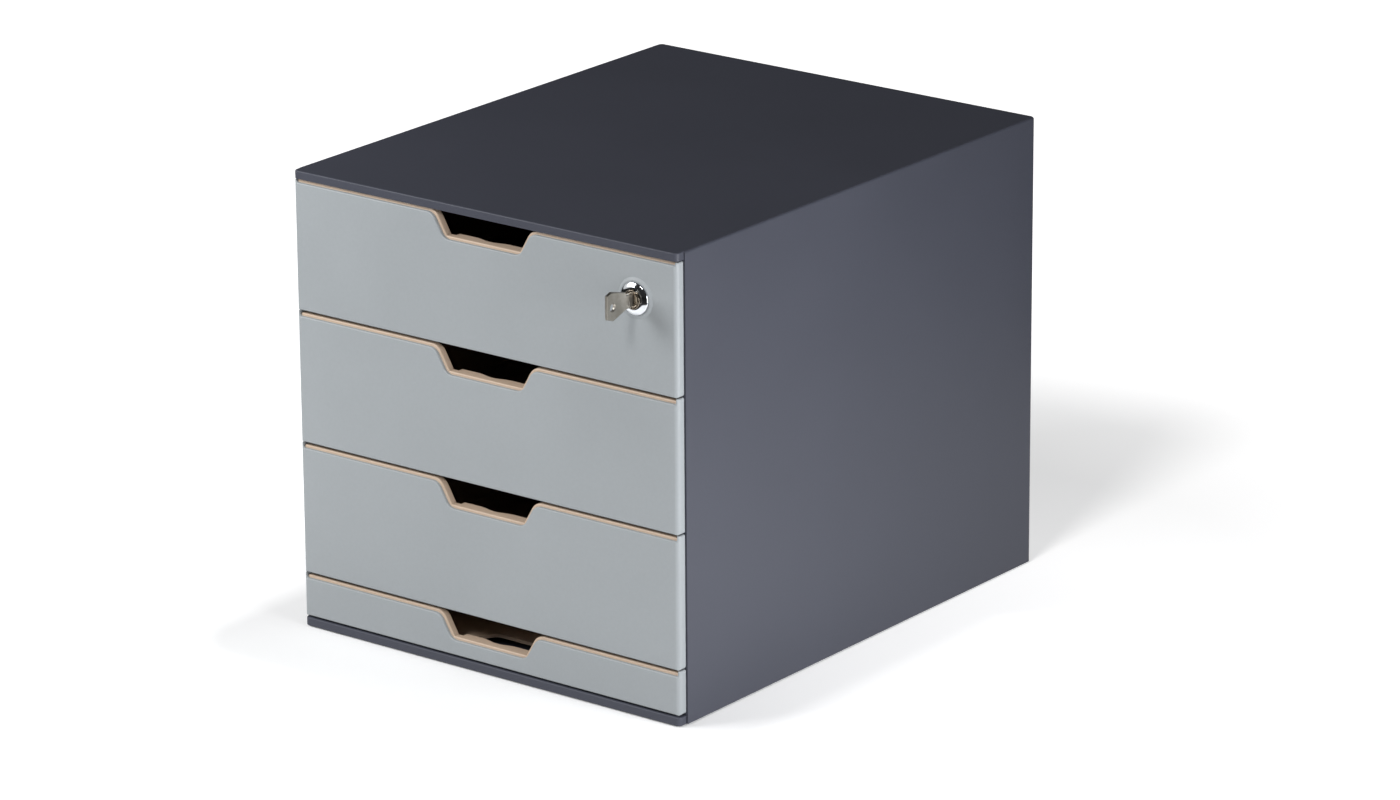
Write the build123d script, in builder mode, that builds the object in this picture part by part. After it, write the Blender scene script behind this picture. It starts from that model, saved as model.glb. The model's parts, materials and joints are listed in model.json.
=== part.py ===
# Desktop drawer cabinet: a casing with three tall drawers over one flat drawer.
# X runs to the right, Y from the drawer fronts to the back, Z up from the table.
import os
from math import atan, cos

from build123d import *

os.makedirs("parts", exist_ok=True)

# Casing
CASE_W = 288.0  # outside width
CASE_D = 355.0  # from the drawer fronts to the back
SIDE_T = 3.5  # side walls; also the plan radius of the back corners
TOP_T = 3.0  # top plate behind its front lip
TOP_LIP_H = 5.0  # height of the top plate's front lip
BASE_T = 3.0  # base panel behind its front lip
BASE_LIP_H = 5.0  # height of the base panel's front lip
BACK_T = 3.0  # back panel
FOOT_H = 1.0  # how far the rubber feet stand out
LIP_INSET = 1.0  # lips and fronts are this much narrower on each side
LIP_R = 3.0  # plan radius of the lips' front corners
TOP_EDGE_R = 1.5  # long edges of the top plate
LIP_EDGE_R = 0.8  # front edges of the lips
PANEL_FIT = 0.15  # gap round a panel that is set into the casing
SIDE_GAP = 0.3  # between a shut drawer front and the side walls' front edges

# Drawer fronts
FLAT_FRONT_H = 23.8
TALL_FRONT_H = 78.7
TALL_COUNT = 3
LOW_GAP = 1.4  # between the base lip and the lowest front
FRONT_GAP = 4.0  # between one front and the next
TOP_GAP = 2.4  # between the highest front and the top lip
PLATE_T = 2.0  # grey front plate
RETURN_T = 1.6  # rims that run back from the plate's sides and lower edge
RETURN_D = 6.0  # depth of the front over its rims
FRONT_TOP_R = 2.5
FRONT_LOW_R = 1.5
FRONT_EDGE_R = 0.8
FRONT_SIDE_R = 3.0  # plan radius of the upright side edges
HORN_GAP = 0.7  # left open above the rims' upper ends, which stand up beside the tray's wall
HORN_R = 1.6  # inside corner between an upper end and the front's top edge
HORN_TOP_R = 1.0
HORN_L = 4.0  # length of top edge that the inside corner's piece takes in

# Finger cut-out in the top edge of each front
CUT_D = 14.6
CUT_HALF_TOP = 36.8
CUT_HALF_LOW = 28.3
CUT_R = 7.0

# Drawer trays
WALL_T = 4.2  # tray's front wall, which lies behind the grey plate
WALL_FIT = 0.1  # gap between the front wall and the rims around it
WALL_RISE = 1.7  # how far the front wall shows above the grey plate's edges
WALL_EDGE_R = 0.8
WALL_CORNER_R = 1.0
TRAY_T = 2.0  # side walls, rear wall and floor
TRAY_DROP = 6.0  # side walls end this much under the front's top edge
TRAY_REAR_R = 4.0
TRAY_FLOOR_R = 1.5
REAR_SPACE = 16.0  # between the tray and the back panel

# Finger ledge behind the lower edge of each cut-out
LEDGE_D = 4.8
LEDGE_SCALLOP = 2.0  # how much shallower the ledge is in the middle
LEDGE_DROP = 0.6
LEDGE_T = 2.4
LEDGE_FLAT_HALF = 3.0
LEDGE_CURVE_HALF = 13.0
LEDGE_IN = 3.5  # ledge ends this much inside the cut-out's lower corners

# Finger hole in the floor of the flat tray, from the front wall backwards
FLOOR_CUT_START = 7.0
FLOOR_CUT_L = 22.5
FLOOR_CUT_HALF_FRONT = 36.0
FLOOR_CUT_HALF_REAR = 21.5
FLOOR_CUT_R = 5.0

# Runner ribs on the side walls, and the tray flanges between them
RIB_T = 2.0
RIB_REACH = 3.2
RIB_START = 1.0  # behind the side walls' front edges
RUN_CLEAR = 0.3  # flange to rib, over the whole travel
SIDE_CLEAR = 0.5  # flange to side wall
BODY_CLEAR = 0.6  # tray body to rib
FLANGE_T = 2.0
FLANGE_END = 4.0  # flange stops this much before the tray's rear
STOP_START = 2.0  # stop block behind the side walls' front edges
STOP_L = 4.0
STOP_H = 3.0
LUG_L = 4.0
LUG_H = 2.4
TRAVEL = 260.0  # how far each drawer pulls out

# Screws
SCREW_R = 1.45
HEAD_R = 2.75
HEAD_H = 1.6
HEAD_EDGE_R = 0.5
RECESS_R = 0.3  # how much wider a screw head's pocket is than the head

# Fastening of each front to its tray
BOSS_R = 3.5
BOSS_H = 3.0
BOSS_FIT = 0.1
FRONT_SCREW_EDGE_X = 14.0
FRONT_SCREW_EDGE_Z = 12.0
TWO_ROWS_FROM = 36.0  # lower fronts have one row of screws
FRONT_SCREW_L = 3.6

# Fastening of the base panel, from below
FLANGE_W = 9.0  # inward flange along the foot of each side wall
FOOT_FLANGE_T = 2.4
BASE_BOSS_R = 3.5
BASE_BOSS_H = 1.6
BASE_FRONT_START = 3.0
BASE_SCREW_EDGE_Y = 27.0  # end screws in from both ends of the side walls' clear run
BASE_SCREW_ROWS = 3
BASE_SCREW_L = 4.0
BASE_HEAD_DEPTH = 1.7

# Fastening of the back panel
BACK_BLOCK = 8.0
BACK_BLOCK_D = 12.0
BACK_SCREW_ROWS = 3
BACK_SCREW_L = 9.0
BACK_HEAD_DEPTH = 1.7

# Rubber feet
FOOT_R = 7.0
FOOT_POCKET = 1.0
FOOT_EDGE_X = 26.0
FOOT_EDGE_Y = 25.0
FOOT_CHAMFER = 0.4

# Cylinder lock in the top drawer
LOCK_EDGE_X = 29.6  # lock centre in from the front's side edge
LOCK_DROP = 24.2  # lock centre under the front's top edge
COLLAR_R = 12.5
COLLAR_TOP_R = 10.9
COLLAR_H = 1.0
BEZEL_R = 10.0
BEZEL_H = 2.2
BEZEL_EDGE_R = 1.6
BARREL_R = 8.0
BARREL_FIT = 0.1
BARREL_END = 19.0  # depth of the barrel's rear end behind the front face
NUT_AF = 22.0
NUT_T = 4.0
PLUG_R = 5.2
PLUG_HEAD_R = 5.7
PLUG_HEAD_OUT = 0.8  # plug's rim in front of the bezel
PLUG_HEAD_L = 2.8
PLUG_FIT = 0.08  # radial running gap
PLUG_END_GAP = 0.4
PLUG_DISH = 0.6
PLUG_RIM = 0.5
KEYWAY_W = 2.4
KEYWAY_H = 7.8
KEYWAY_END = 15.0
TAIL_AF = 6.0
CAM_T = 2.0
CAM_W = 12.0
CAM_L = 22.0
CAM_TIP_R = 3.0
CAM_HEAD_R = 4.0
CAM_SCREW_R = 1.5
CAM_SCREW_L = 5.0

# Angle catch under the top plate, in front of the cam
CATCH_GAP = 0.5  # to the shut and locked cam
CATCH_T = 2.0
CATCH_W = 24.0
CATCH_D = 14.0
CATCH_LAP = 6.0  # how far the locked cam reaches up behind the catch
CATCH_PAD_T = 1.5
CATCH_SCREW_L = 5.0
CATCH_SCREW_X = 7.0
CATCH_SCREW_BACK = 4.8  # screws in from the catch's rear edge

# Key
KEY_OUT = 27.2  # how far the bow stands out in front of the drawer fronts
KEY_T = 2.0
BLADE_H = 7.2
BLADE_END = 12.5
NECK_H = 8.4
NECK_OUT = 9.4
BOW_SHOULDER = 1.1
BOW_RISE_IN = 6.2
BOW_RISE_OUT = 9.4
BOW_CORNER_L = 4.2
BOW_CORNER_H = 1.5
BOW_FALL_OUT = 6.2
BOW_FALL_IN = 8.2
BOW_FLAT = 5.9
BOW_SLANT_END = 9.2
BOW_HOLE_R = 2.3
BOW_HOLE_IN = 5.0
BOW_EDGE = 0.35
BLADE_NOTCH_R = 0.9
BLADE_NOTCHES = 3
BLADE_NOTCH_PITCH = 3.0
BLADE_NOTCH_START = 2.0

EDGE_TOL = 0.01

# Derived places. Depths are counted from the drawer fronts' face plane.
FRONT_Y = -(CASE_D - KEY_OUT) / 2
INNER_HALF = CASE_W / 2 - SIDE_T
FRONT_HALF = CASE_W / 2 - LIP_INSET
WALL_HALF = FRONT_HALF - RETURN_T - WALL_FIT
WALL_REAR = PLATE_T + WALL_T
SIDE_START = WALL_REAR + SIDE_GAP
RIB_X = INNER_HALF - RIB_REACH
TRAY_HALF = RIB_X - BODY_CLEAR
FLANGE_X = INNER_HALF - SIDE_CLEAR
TRAY_REAR = CASE_D - BACK_T - REAR_SPACE
BLOCK_START = CASE_D - BACK_T - BACK_BLOCK_D
TRAY_LOW = RETURN_T + WALL_FIT  # tray's underside over the front's lower edge
LOCK_X = FRONT_HALF - LOCK_EDGE_X
STOP_Y = SIDE_START + STOP_START
LUG_Y = STOP_Y + STOP_L + RUN_CLEAR + TRAVEL
BASE_TOP = FOOT_H + BASE_T
BASE_LIP_TOP = FOOT_H + BASE_LIP_H

FRONTS = []
front_low = BASE_LIP_TOP + LOW_GAP
for front_h in [FLAT_FRONT_H] + [TALL_FRONT_H] * TALL_COUNT:
    FRONTS.append((front_low, front_h))
    front_low = front_low + front_h + FRONT_GAP
FRONTS.reverse()

FRONTS_TOP = FRONTS[0][0] + FRONTS[0][1]
LIP_LOW = FRONTS_TOP + TOP_GAP
CASE_TOP = LIP_LOW + TOP_LIP_H
PLATE_LOW = CASE_TOP - TOP_T
LOCK_Z = FRONTS_TOP - LOCK_DROP
BEZEL_FACE = -(COLLAR_H + BEZEL_H)
PLUG_FACE = BEZEL_FACE - PLUG_HEAD_OUT
PLUG_SEAT = PLUG_FACE + PLUG_HEAD_L
PLUG_END = BARREL_END + PLUG_END_GAP
CAM_END = PLUG_END + CAM_T
CATCH_REAR = PLUG_END - CATCH_GAP
CATCH_LOW = LOCK_Z + CAM_L - CATCH_LAP
CATCH_TOP = PLATE_LOW - CATCH_PAD_T
CATCH_MID = FRONT_Y + CATCH_REAR - CATCH_T + CATCH_D / 2


def upright(depth):
    """Upright plane facing the user, at a depth behind the drawer fronts."""
    return Plane.XZ.offset(-(FRONT_Y + depth))


def tray_top(low, height):
    """Height of a tray's side walls."""
    return low + height - TRAY_DROP


def front_screw_places(low, height):
    """Places of the screws that hold one front, seen from the front."""
    x = FRONT_HALF - FRONT_SCREW_EDGE_X
    if height > TWO_ROWS_FROM:
        rows = [low + FRONT_SCREW_EDGE_Z, low + height - FRONT_SCREW_EDGE_Z]
    else:
        rows = [low + height / 2]
    return [(side * x, z) for z in rows for side in (-1, 1)]


def notched_outline(half, low, high, rise):
    """Corner points of a front with its cut-out, the cut-out smaller by rise."""
    slope = (CUT_HALF_TOP - CUT_HALF_LOW) / CUT_D
    shift = rise * (slope - 1 / cos(atan(slope)))
    top = CUT_HALF_TOP + shift
    foot = CUT_HALF_LOW + shift
    cut_low = high - CUT_D
    return [
        (-half, low),
        (half, low),
        (half, high),
        (top, high),
        (foot, cut_low),
        (-foot, cut_low),
        (-top, high),
        (-half, high),
    ]


def horn_outline(side, high, rise, reach):
    """Corner points of one upper rim end, with a length of the top edge beside it."""
    inner = FRONT_HALF - RETURN_T
    return [
        (side * (inner - reach), high - FRONT_TOP_R),
        (side * FRONT_HALF, high - FRONT_TOP_R),
        (side * FRONT_HALF, high + rise),
        (side * inner, high + rise),
        (side * inner, high),
        (side * (inner - reach), high),
    ]


def make_front(low, height, rise, has_lock):
    """Grey front: plate, rims with upper ends, and screw bosses, with the finger cut-out."""
    high = low + height
    places = front_screw_places(low, height)
    with BuildPart() as front:
        with BuildSketch(upright(0)) as outline:
            with BuildLine():
                Polyline(notched_outline(FRONT_HALF, low, high, 0), close=True)
            make_face()
            near_cut = outline.vertices().filter_by(
                lambda v: abs(v.X) < CUT_HALF_TOP + EDGE_TOL
            )
            fillet(near_cut, CUT_R)
            outer = outline.vertices().filter_by(lambda v: abs(v.X) > FRONT_HALF - EDGE_TOL)
            fillet(outer.filter_by(lambda v: v.Y > high - EDGE_TOL), FRONT_TOP_R)
            outer = outline.vertices().filter_by(lambda v: v.Y < low + EDGE_TOL)
            fillet(outer, FRONT_LOW_R)
        extrude(amount=-RETURN_D)
        fillet(front.faces().sort_by(Axis.Y)[0].edges(), FRONT_EDGE_R)
        for side in (-1, 1):
            with BuildSketch(upright(FRONT_EDGE_R)) as horn:
                with BuildLine():
                    Polyline(horn_outline(side, high, rise, HORN_L), close=True)
                make_face()
                inside = horn.vertices().filter_by(
                    lambda v: abs(v.Y - high) < EDGE_TOL
                ).sort_by(lambda v: abs(v.X))[-1]
                fillet(inside, HORN_R)
                tip = horn.vertices().filter_by(
                    lambda v: v.Y > high + rise - EDGE_TOL
                ).sort_by(lambda v: abs(v.X))[-1]
                fillet(tip, HORN_TOP_R)
            extrude(amount=-(PLATE_T - FRONT_EDGE_R))
            with BuildSketch(upright(FRONT_EDGE_R)) as straight:
                with Locations((side * (FRONT_HALF - RETURN_T / 2), high + (rise - FRONT_TOP_R) / 2)):
                    Rectangle(RETURN_T, rise + FRONT_TOP_R)
                tip = straight.vertices().filter_by(
                    lambda v: v.Y > high + rise - EDGE_TOL
                ).sort_by(lambda v: abs(v.X))[-1]
                fillet(tip, HORN_TOP_R)
            extrude(amount=-(RETURN_D - FRONT_EDGE_R))
        with BuildSketch(Plane.XY.offset(low)) as plan:
            with Locations((0, FRONT_Y + RETURN_D / 2)):
                Rectangle(2 * FRONT_HALF, RETURN_D)
            fillet(plan.vertices().group_by(Axis.Y)[0], FRONT_SIDE_R)
        extrude(amount=height + rise, mode=Mode.INTERSECT)
        with BuildSketch(upright(PLATE_T)):
            with Locations((0, low + RETURN_T + height / 2)):
                Rectangle(2 * (FRONT_HALF - RETURN_T), height)
        extrude(amount=-RETURN_D, mode=Mode.SUBTRACT)
        with BuildSketch(upright(PLATE_T)):
            with Locations(places):
                Circle(BOSS_R)
        extrude(amount=-BOSS_H)
        with BuildSketch(upright(WALL_REAR - FRONT_SCREW_L)):
            with Locations(places):
                Circle(SCREW_R)
        extrude(amount=-FRONT_SCREW_L, mode=Mode.SUBTRACT)
        if has_lock:
            with BuildSketch(upright(0)):
                with Locations((LOCK_X, LOCK_Z)):
                    Circle(COLLAR_R)
            with BuildSketch(upright(-COLLAR_H)):
                with Locations((LOCK_X, LOCK_Z)):
                    Circle(COLLAR_TOP_R)
            loft()
            with BuildSketch(upright(-COLLAR_H)):
                with Locations((LOCK_X, LOCK_Z)):
                    Circle(BARREL_R + BARREL_FIT)
            extrude(amount=-(COLLAR_H + PLATE_T), mode=Mode.SUBTRACT)
    return front.part


def make_tray(low, height, has_lock, has_floor_cut):
    """Beige tray: front wall, ledge, floor, walls, runner flanges and stop lugs."""
    high = low + height
    foot = low + TRAY_LOW
    rim = tray_top(low, height)
    inner_half = TRAY_HALF - TRAY_T
    inner_rear = TRAY_REAR - TRAY_T
    lug_top = rim - FLANGE_T - RUN_CLEAR - RIB_T - RUN_CLEAR
    cut_low = high + WALL_RISE - CUT_D
    places = front_screw_places(low, height)
    with BuildPart() as tray:
        with BuildSketch(Plane.XY.offset(foot)) as plan:
            with Locations((0, FRONT_Y + (WALL_REAR + TRAY_REAR) / 2)):
                Rectangle(2 * TRAY_HALF, TRAY_REAR - WALL_REAR)
            fillet(plan.vertices().group_by(Axis.Y)[-1], TRAY_REAR_R)
        extrude(amount=rim - foot)
        fillet(tray.faces().sort_by(Axis.Z)[0].edges().filter_by(
            lambda e: e.center().Y > FRONT_Y + WALL_REAR + EDGE_TOL), TRAY_FLOOR_R)
        with BuildSketch(Plane.XY.offset(foot + TRAY_T)) as hollow:
            with Locations((0, FRONT_Y + (WALL_REAR + inner_rear) / 2)):
                Rectangle(2 * inner_half, inner_rear - WALL_REAR)
            fillet(hollow.vertices().group_by(Axis.Y)[-1], TRAY_REAR_R - TRAY_T)
        extrude(amount=height, mode=Mode.SUBTRACT)
        with BuildSketch(upright(PLATE_T)) as wall:
            with BuildLine():
                Polyline(
                    notched_outline(WALL_HALF, foot, high + WALL_RISE, WALL_RISE),
                    close=True,
                )
            make_face()
            near_cut = wall.vertices().filter_by(lambda v: abs(v.X) < CUT_HALF_TOP + EDGE_TOL)
            fillet(near_cut.filter_by(lambda v: v.Y > high), CUT_R + WALL_RISE)
            fillet(near_cut.filter_by(lambda v: v.Y < high), CUT_R - WALL_RISE)
            corner = wall.vertices().filter_by(lambda v: abs(v.X) > WALL_HALF - EDGE_TOL)
            fillet(corner.filter_by(lambda v: v.Y > high), WALL_CORNER_R)
        extrude(amount=-WALL_T)
        top_run = tray.edges().filter_by(
            lambda e: e.center().Y < FRONT_Y + PLATE_T + EDGE_TOL
            and e.center().Z > cut_low - EDGE_TOL
            and abs(e.center().X) < WALL_HALF - EDGE_TOL
        )
        fillet(top_run, WALL_EDGE_R)
        with BuildSketch(Plane.XY.offset(rim - FLANGE_T)):
            for side in (-1, 1):
                with Locations((side * (FLANGE_X + TRAY_HALF - TRAY_T / 2) / 2,
                                FRONT_Y + (WALL_REAR + TRAY_REAR - FLANGE_END) / 2)):
                    Rectangle(FLANGE_X - TRAY_HALF + TRAY_T / 2,
                              TRAY_REAR - FLANGE_END - WALL_REAR)
        extrude(amount=FLANGE_T)
        with BuildSketch(Plane.XY.offset(lug_top - LUG_H)):
            for side in (-1, 1):
                with Locations((side * (FLANGE_X + TRAY_HALF - TRAY_T / 2) / 2,
                                FRONT_Y + LUG_Y + LUG_L / 2)):
                    Rectangle(FLANGE_X - TRAY_HALF + TRAY_T / 2, LUG_L)
        extrude(amount=LUG_H)
        ledge_half = CUT_HALF_LOW - LEDGE_IN
        near = FRONT_Y + WALL_REAR - TRAY_T / 2
        deep = FRONT_Y + WALL_REAR + LEDGE_D
        with BuildSketch(Plane.XY.offset(cut_low - LEDGE_DROP - LEDGE_T)):
            with BuildLine():
                Line((LEDGE_CURVE_HALF, deep), (ledge_half, deep))
                Line((ledge_half, deep), (ledge_half, near))
                Line((ledge_half, near), (-ledge_half, near))
                Line((-ledge_half, near), (-ledge_half, deep))
                Line((-ledge_half, deep), (-LEDGE_CURVE_HALF, deep))
                Spline(
                    (-LEDGE_CURVE_HALF, deep),
                    (-LEDGE_FLAT_HALF, deep - LEDGE_SCALLOP),
                    (LEDGE_FLAT_HALF, deep - LEDGE_SCALLOP),
                    (LEDGE_CURVE_HALF, deep),
                    tangents=[(1, 0), (1, 0)],
                )
            make_face()
        extrude(amount=LEDGE_T)
        with BuildSketch(upright(PLATE_T)):
            with Locations(places):
                Circle(BOSS_R + BOSS_FIT)
        extrude(amount=-(BOSS_H + BOSS_FIT), mode=Mode.SUBTRACT)
        with BuildSketch(upright(PLATE_T)):
            with Locations(places):
                Circle(SCREW_R)
        extrude(amount=-WALL_T, mode=Mode.SUBTRACT)
        if has_lock:
            with BuildSketch(upright(PLATE_T)):
                with Locations((LOCK_X, LOCK_Z)):
                    Circle(BARREL_R + BARREL_FIT)
            extrude(amount=-WALL_T, mode=Mode.SUBTRACT)
        if has_floor_cut:
            start = FRONT_Y + WALL_REAR + FLOOR_CUT_START
            with BuildSketch(Plane.XY.offset(foot)) as hole:
                with BuildLine():
                    Polyline(
                        (-FLOOR_CUT_HALF_FRONT, start),
                        (FLOOR_CUT_HALF_FRONT, start),
                        (FLOOR_CUT_HALF_REAR, start + FLOOR_CUT_L),
                        (-FLOOR_CUT_HALF_REAR, start + FLOOR_CUT_L),
                        close=True,
                    )
                make_face()
                fillet(hole.vertices(), FLOOR_CUT_R)
            extrude(amount=TRAY_T, mode=Mode.SUBTRACT)
    return tray.part


def make_lip(low, height, depth):
    """Front lip of the top plate or the base panel, with softened edges."""
    with BuildPart() as lip:
        with BuildSketch(Plane.XY.offset(low)) as plan:
            with Locations((0, FRONT_Y + depth / 2)):
                Rectangle(2 * FRONT_HALF, depth)
            fillet(plan.vertices().group_by(Axis.Y)[0], LIP_R)
        extrude(amount=height)
        rear = FRONT_Y + depth - EDGE_TOL
        fillet(lip.faces().sort_by(Axis.Z)[-1].edges().filter_by(
            lambda e: e.center().Y < rear), LIP_EDGE_R)
    return lip.part


def make_screws(places, plane, shank_l):
    """Pan-head screws: heads start on the plane, shanks run the other way."""
    with BuildPart() as screws:
        with BuildSketch(plane):
            with Locations(places):
                Circle(HEAD_R)
        extrude(amount=HEAD_H)
        fillet(screws.faces().filter_by(GeomType.PLANE).sort_by(
            Axis(plane.origin, plane.z_dir))[-len(places):].edges(), HEAD_EDGE_R)
        with BuildSketch(plane):
            with Locations(places):
                Circle(SCREW_R)
        extrude(amount=-shank_l)
    return screws.part


def save(part, name):
    """Label one piece and write it."""
    part.label = name
    export_step(part, "parts/" + name + ".step")


# Screw and foot places in plan, counted from the casing's middle line
base_screw_x = INNER_HALF - FLANGE_W / 2
base_screw_mid = FRONT_Y + (SIDE_START + BLOCK_START) / 2
back_rows = [BASE_TOP + FOOT_FLANGE_T + BACK_BLOCK / 2, PLATE_LOW - BACK_BLOCK / 2]
back_mid = (back_rows[0] + back_rows[1]) / 2
back_span = back_rows[1] - back_rows[0]
back_screw_x = INNER_HALF - BACK_BLOCK / 2
foot_x = CASE_W / 2 - FOOT_EDGE_X
foot_mid = FRONT_Y + CASE_D / 2
foot_span = CASE_D - 2 * FOOT_EDGE_Y

base_span = BLOCK_START - SIDE_START - 2 * BASE_SCREW_EDGE_Y
base_pitch = base_span / (BASE_SCREW_ROWS - 1)
back_pitch = back_span / (BACK_SCREW_ROWS - 1)
with GridLocations(2 * base_screw_x, base_pitch, 2, BASE_SCREW_ROWS) as base_grid:
    base_screw_places = [
        (spot.position.X, spot.position.Y + base_screw_mid) for spot in base_grid.locations
    ]
with GridLocations(2 * back_screw_x, back_pitch, 2, BACK_SCREW_ROWS) as back_grid:
    back_screw_places = [
        (spot.position.X, spot.position.Y + back_mid) for spot in back_grid.locations
    ]
with GridLocations(2 * foot_x, foot_span, 2, 2) as foot_grid:
    foot_places = [
        (spot.position.X, spot.position.Y + foot_mid) for spot in foot_grid.locations
    ]

catch_screw_y = CATCH_MID + CATCH_D / 2 - CATCH_SCREW_BACK
catch_screw_places = [(LOCK_X + side * CATCH_SCREW_X, catch_screw_y) for side in (-1, 1)]

# Casing: top plate and side walls in one moulding, with ribs, flanges and blocks
with BuildPart() as case_shell:
    with BuildSketch(Plane.XY.offset(FOOT_H)) as case_plan:
        with Locations((0, FRONT_Y + (SIDE_START + CASE_D) / 2)):
            Rectangle(CASE_W, CASE_D - SIDE_START)
        fillet(case_plan.vertices().group_by(Axis.Y)[-1], SIDE_T)
    extrude(amount=CASE_TOP - FOOT_H)
    fillet(case_shell.faces().sort_by(Axis.Z)[-1].edges().filter_by(
        lambda e: e.center().Y > FRONT_Y + SIDE_START + EDGE_TOL), TOP_EDGE_R)
    with BuildSketch(Plane.XY.offset(FOOT_H)):
        with Locations((0, FRONT_Y + CASE_D / 2)):
            Rectangle(2 * INNER_HALF, CASE_D)
    extrude(amount=PLATE_LOW - FOOT_H, mode=Mode.SUBTRACT)
    add(make_lip(LIP_LOW, TOP_LIP_H, SIDE_START + TOP_T / 2))
    # runner ribs and stop blocks
    for low, height in FRONTS:
        rim = tray_top(low, height)
        for rib_low in (rim - FLANGE_T - RUN_CLEAR - RIB_T, rim + RUN_CLEAR):
            with BuildSketch(Plane.XY.offset(rib_low)):
                for side in (-1, 1):
                    with Locations((side * (INNER_HALF + SIDE_T / 2 + RIB_X) / 2,
                                    FRONT_Y + (SIDE_START + RIB_START + BLOCK_START) / 2)):
                        Rectangle(RIB_REACH + SIDE_T / 2, BLOCK_START - SIDE_START - RIB_START)
            extrude(amount=RIB_T)
        stop_top = rim - FLANGE_T - RUN_CLEAR - RIB_T
        with BuildSketch(Plane.XY.offset(stop_top - STOP_H)):
            for side in (-1, 1):
                with Locations((side * (INNER_HALF + SIDE_T / 2 + RIB_X) / 2,
                                FRONT_Y + STOP_Y + STOP_L / 2)):
                    Rectangle(RIB_REACH + SIDE_T / 2, STOP_L)
        extrude(amount=STOP_H)
    # inward flange along the foot of each side wall, with screw bosses
    with BuildSketch(Plane.XY.offset(BASE_TOP)):
        for side in (-1, 1):
            with Locations((side * (INNER_HALF + (SIDE_T / 2 - FLANGE_W) / 2),
                            FRONT_Y + (SIDE_START + BASE_FRONT_START + CASE_D - BACK_T) / 2)):
                Rectangle(FLANGE_W + SIDE_T / 2, CASE_D - BACK_T - SIDE_START - BASE_FRONT_START)
    extrude(amount=FOOT_FLANGE_T)
    with BuildSketch(Plane.XY.offset(BASE_TOP)):
        with Locations(base_screw_places):
            Circle(BASE_BOSS_R)
    extrude(amount=FOOT_FLANGE_T + BASE_BOSS_H)
    with BuildSketch(Plane.XY.offset(BASE_TOP)):
        with Locations(base_screw_places):
            Circle(SCREW_R)
    extrude(amount=BASE_SCREW_L - BASE_T + BASE_HEAD_DEPTH, mode=Mode.SUBTRACT)
    # blocks that take the back panel's screws
    with BuildSketch(upright(BLOCK_START)):
        with Locations(back_screw_places):
            Rectangle(BACK_BLOCK, BACK_BLOCK)
    extrude(amount=-BACK_BLOCK_D)
    with BuildSketch(upright(CASE_D - BACK_T)):
        with Locations(back_screw_places):
            Circle(SCREW_R)
    extrude(amount=BACK_SCREW_L - BACK_T + BACK_HEAD_DEPTH, mode=Mode.SUBTRACT)
    # pad that the lock's catch is screwed to
    with BuildSketch(Plane.XY.offset(CATCH_TOP)):
        with Locations((LOCK_X, CATCH_MID)):
            Rectangle(CATCH_W, CATCH_D)
    extrude(amount=CATCH_PAD_T + TOP_T / 2)
    with BuildSketch(Plane.XY.offset(CATCH_TOP)):
        with Locations(catch_screw_places):
            Circle(SCREW_R)
    extrude(amount=CATCH_SCREW_L - CATCH_T, mode=Mode.SUBTRACT)
save(case_shell.part, "case_shell")

# Base panel with its front lip, set between the side walls
with BuildPart() as base_panel:
    with BuildSketch(Plane.XY.offset(FOOT_H)):
        with Locations((0, FRONT_Y + (RETURN_T + CASE_D) / 2)):
            Rectangle(2 * (INNER_HALF - PANEL_FIT), CASE_D - RETURN_T)
    extrude(amount=BASE_T)
    add(make_lip(FOOT_H, BASE_LIP_H, WALL_REAR))
    with BuildSketch(Plane.XY.offset(FOOT_H)):
        with Locations(foot_places):
            Circle(FOOT_R)
    extrude(amount=FOOT_POCKET, mode=Mode.SUBTRACT)
    with BuildSketch(Plane.XY.offset(FOOT_H)):
        with Locations(base_screw_places):
            Circle(HEAD_R + RECESS_R)
    extrude(amount=BASE_HEAD_DEPTH, mode=Mode.SUBTRACT)
    with BuildSketch(Plane.XY.offset(FOOT_H)):
        with Locations(base_screw_places):
            Circle(SCREW_R)
    extrude(amount=BASE_T, mode=Mode.SUBTRACT)
save(base_panel.part, "base_panel")

# Back panel, set between the side walls, the top plate and the base panel
with BuildPart() as back_panel:
    with BuildSketch(upright(CASE_D - BACK_T)):
        with Locations((0, (BASE_TOP + PLATE_LOW) / 2)):
            Rectangle(2 * (INNER_HALF - PANEL_FIT), PLATE_LOW - BASE_TOP - 2 * PANEL_FIT)
    extrude(amount=-BACK_T)
    with BuildSketch(upright(CASE_D)):
        with Locations(back_screw_places):
            Circle(HEAD_R + RECESS_R)
    extrude(amount=BACK_HEAD_DEPTH, mode=Mode.SUBTRACT)
    with BuildSketch(upright(CASE_D)):
        with Locations(back_screw_places):
            Circle(SCREW_R)
    extrude(amount=BACK_T, mode=Mode.SUBTRACT)
save(back_panel.part, "back_panel")

# Catch: an angle with one leg under the pad and one hanging in front of the cam
with BuildPart() as lock_catch:
    with BuildSketch(Plane.XY.offset(CATCH_TOP - CATCH_T)):
        with Locations((LOCK_X, CATCH_MID)):
            Rectangle(CATCH_W, CATCH_D)
        with Locations(catch_screw_places):
            Circle(SCREW_R, mode=Mode.SUBTRACT)
    extrude(amount=CATCH_T)
    with BuildSketch(Plane.XY.offset(CATCH_LOW)):
        with Locations((LOCK_X, FRONT_Y + CATCH_REAR - CATCH_T / 2)):
            Rectangle(CATCH_W, CATCH_T)
    extrude(amount=CATCH_TOP - CATCH_LOW)
save(lock_catch.part, "lock_catch")

# Rubber feet in their pockets
with BuildPart() as feet:
    with BuildSketch(Plane.XY):
        with Locations(foot_places):
            Circle(FOOT_R)
    extrude(amount=FOOT_H + FOOT_POCKET)
    chamfer(feet.edges().filter_by(lambda e: e.center().Z < EDGE_TOL), FOOT_CHAMFER)
save(feet.part, "feet")

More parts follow.
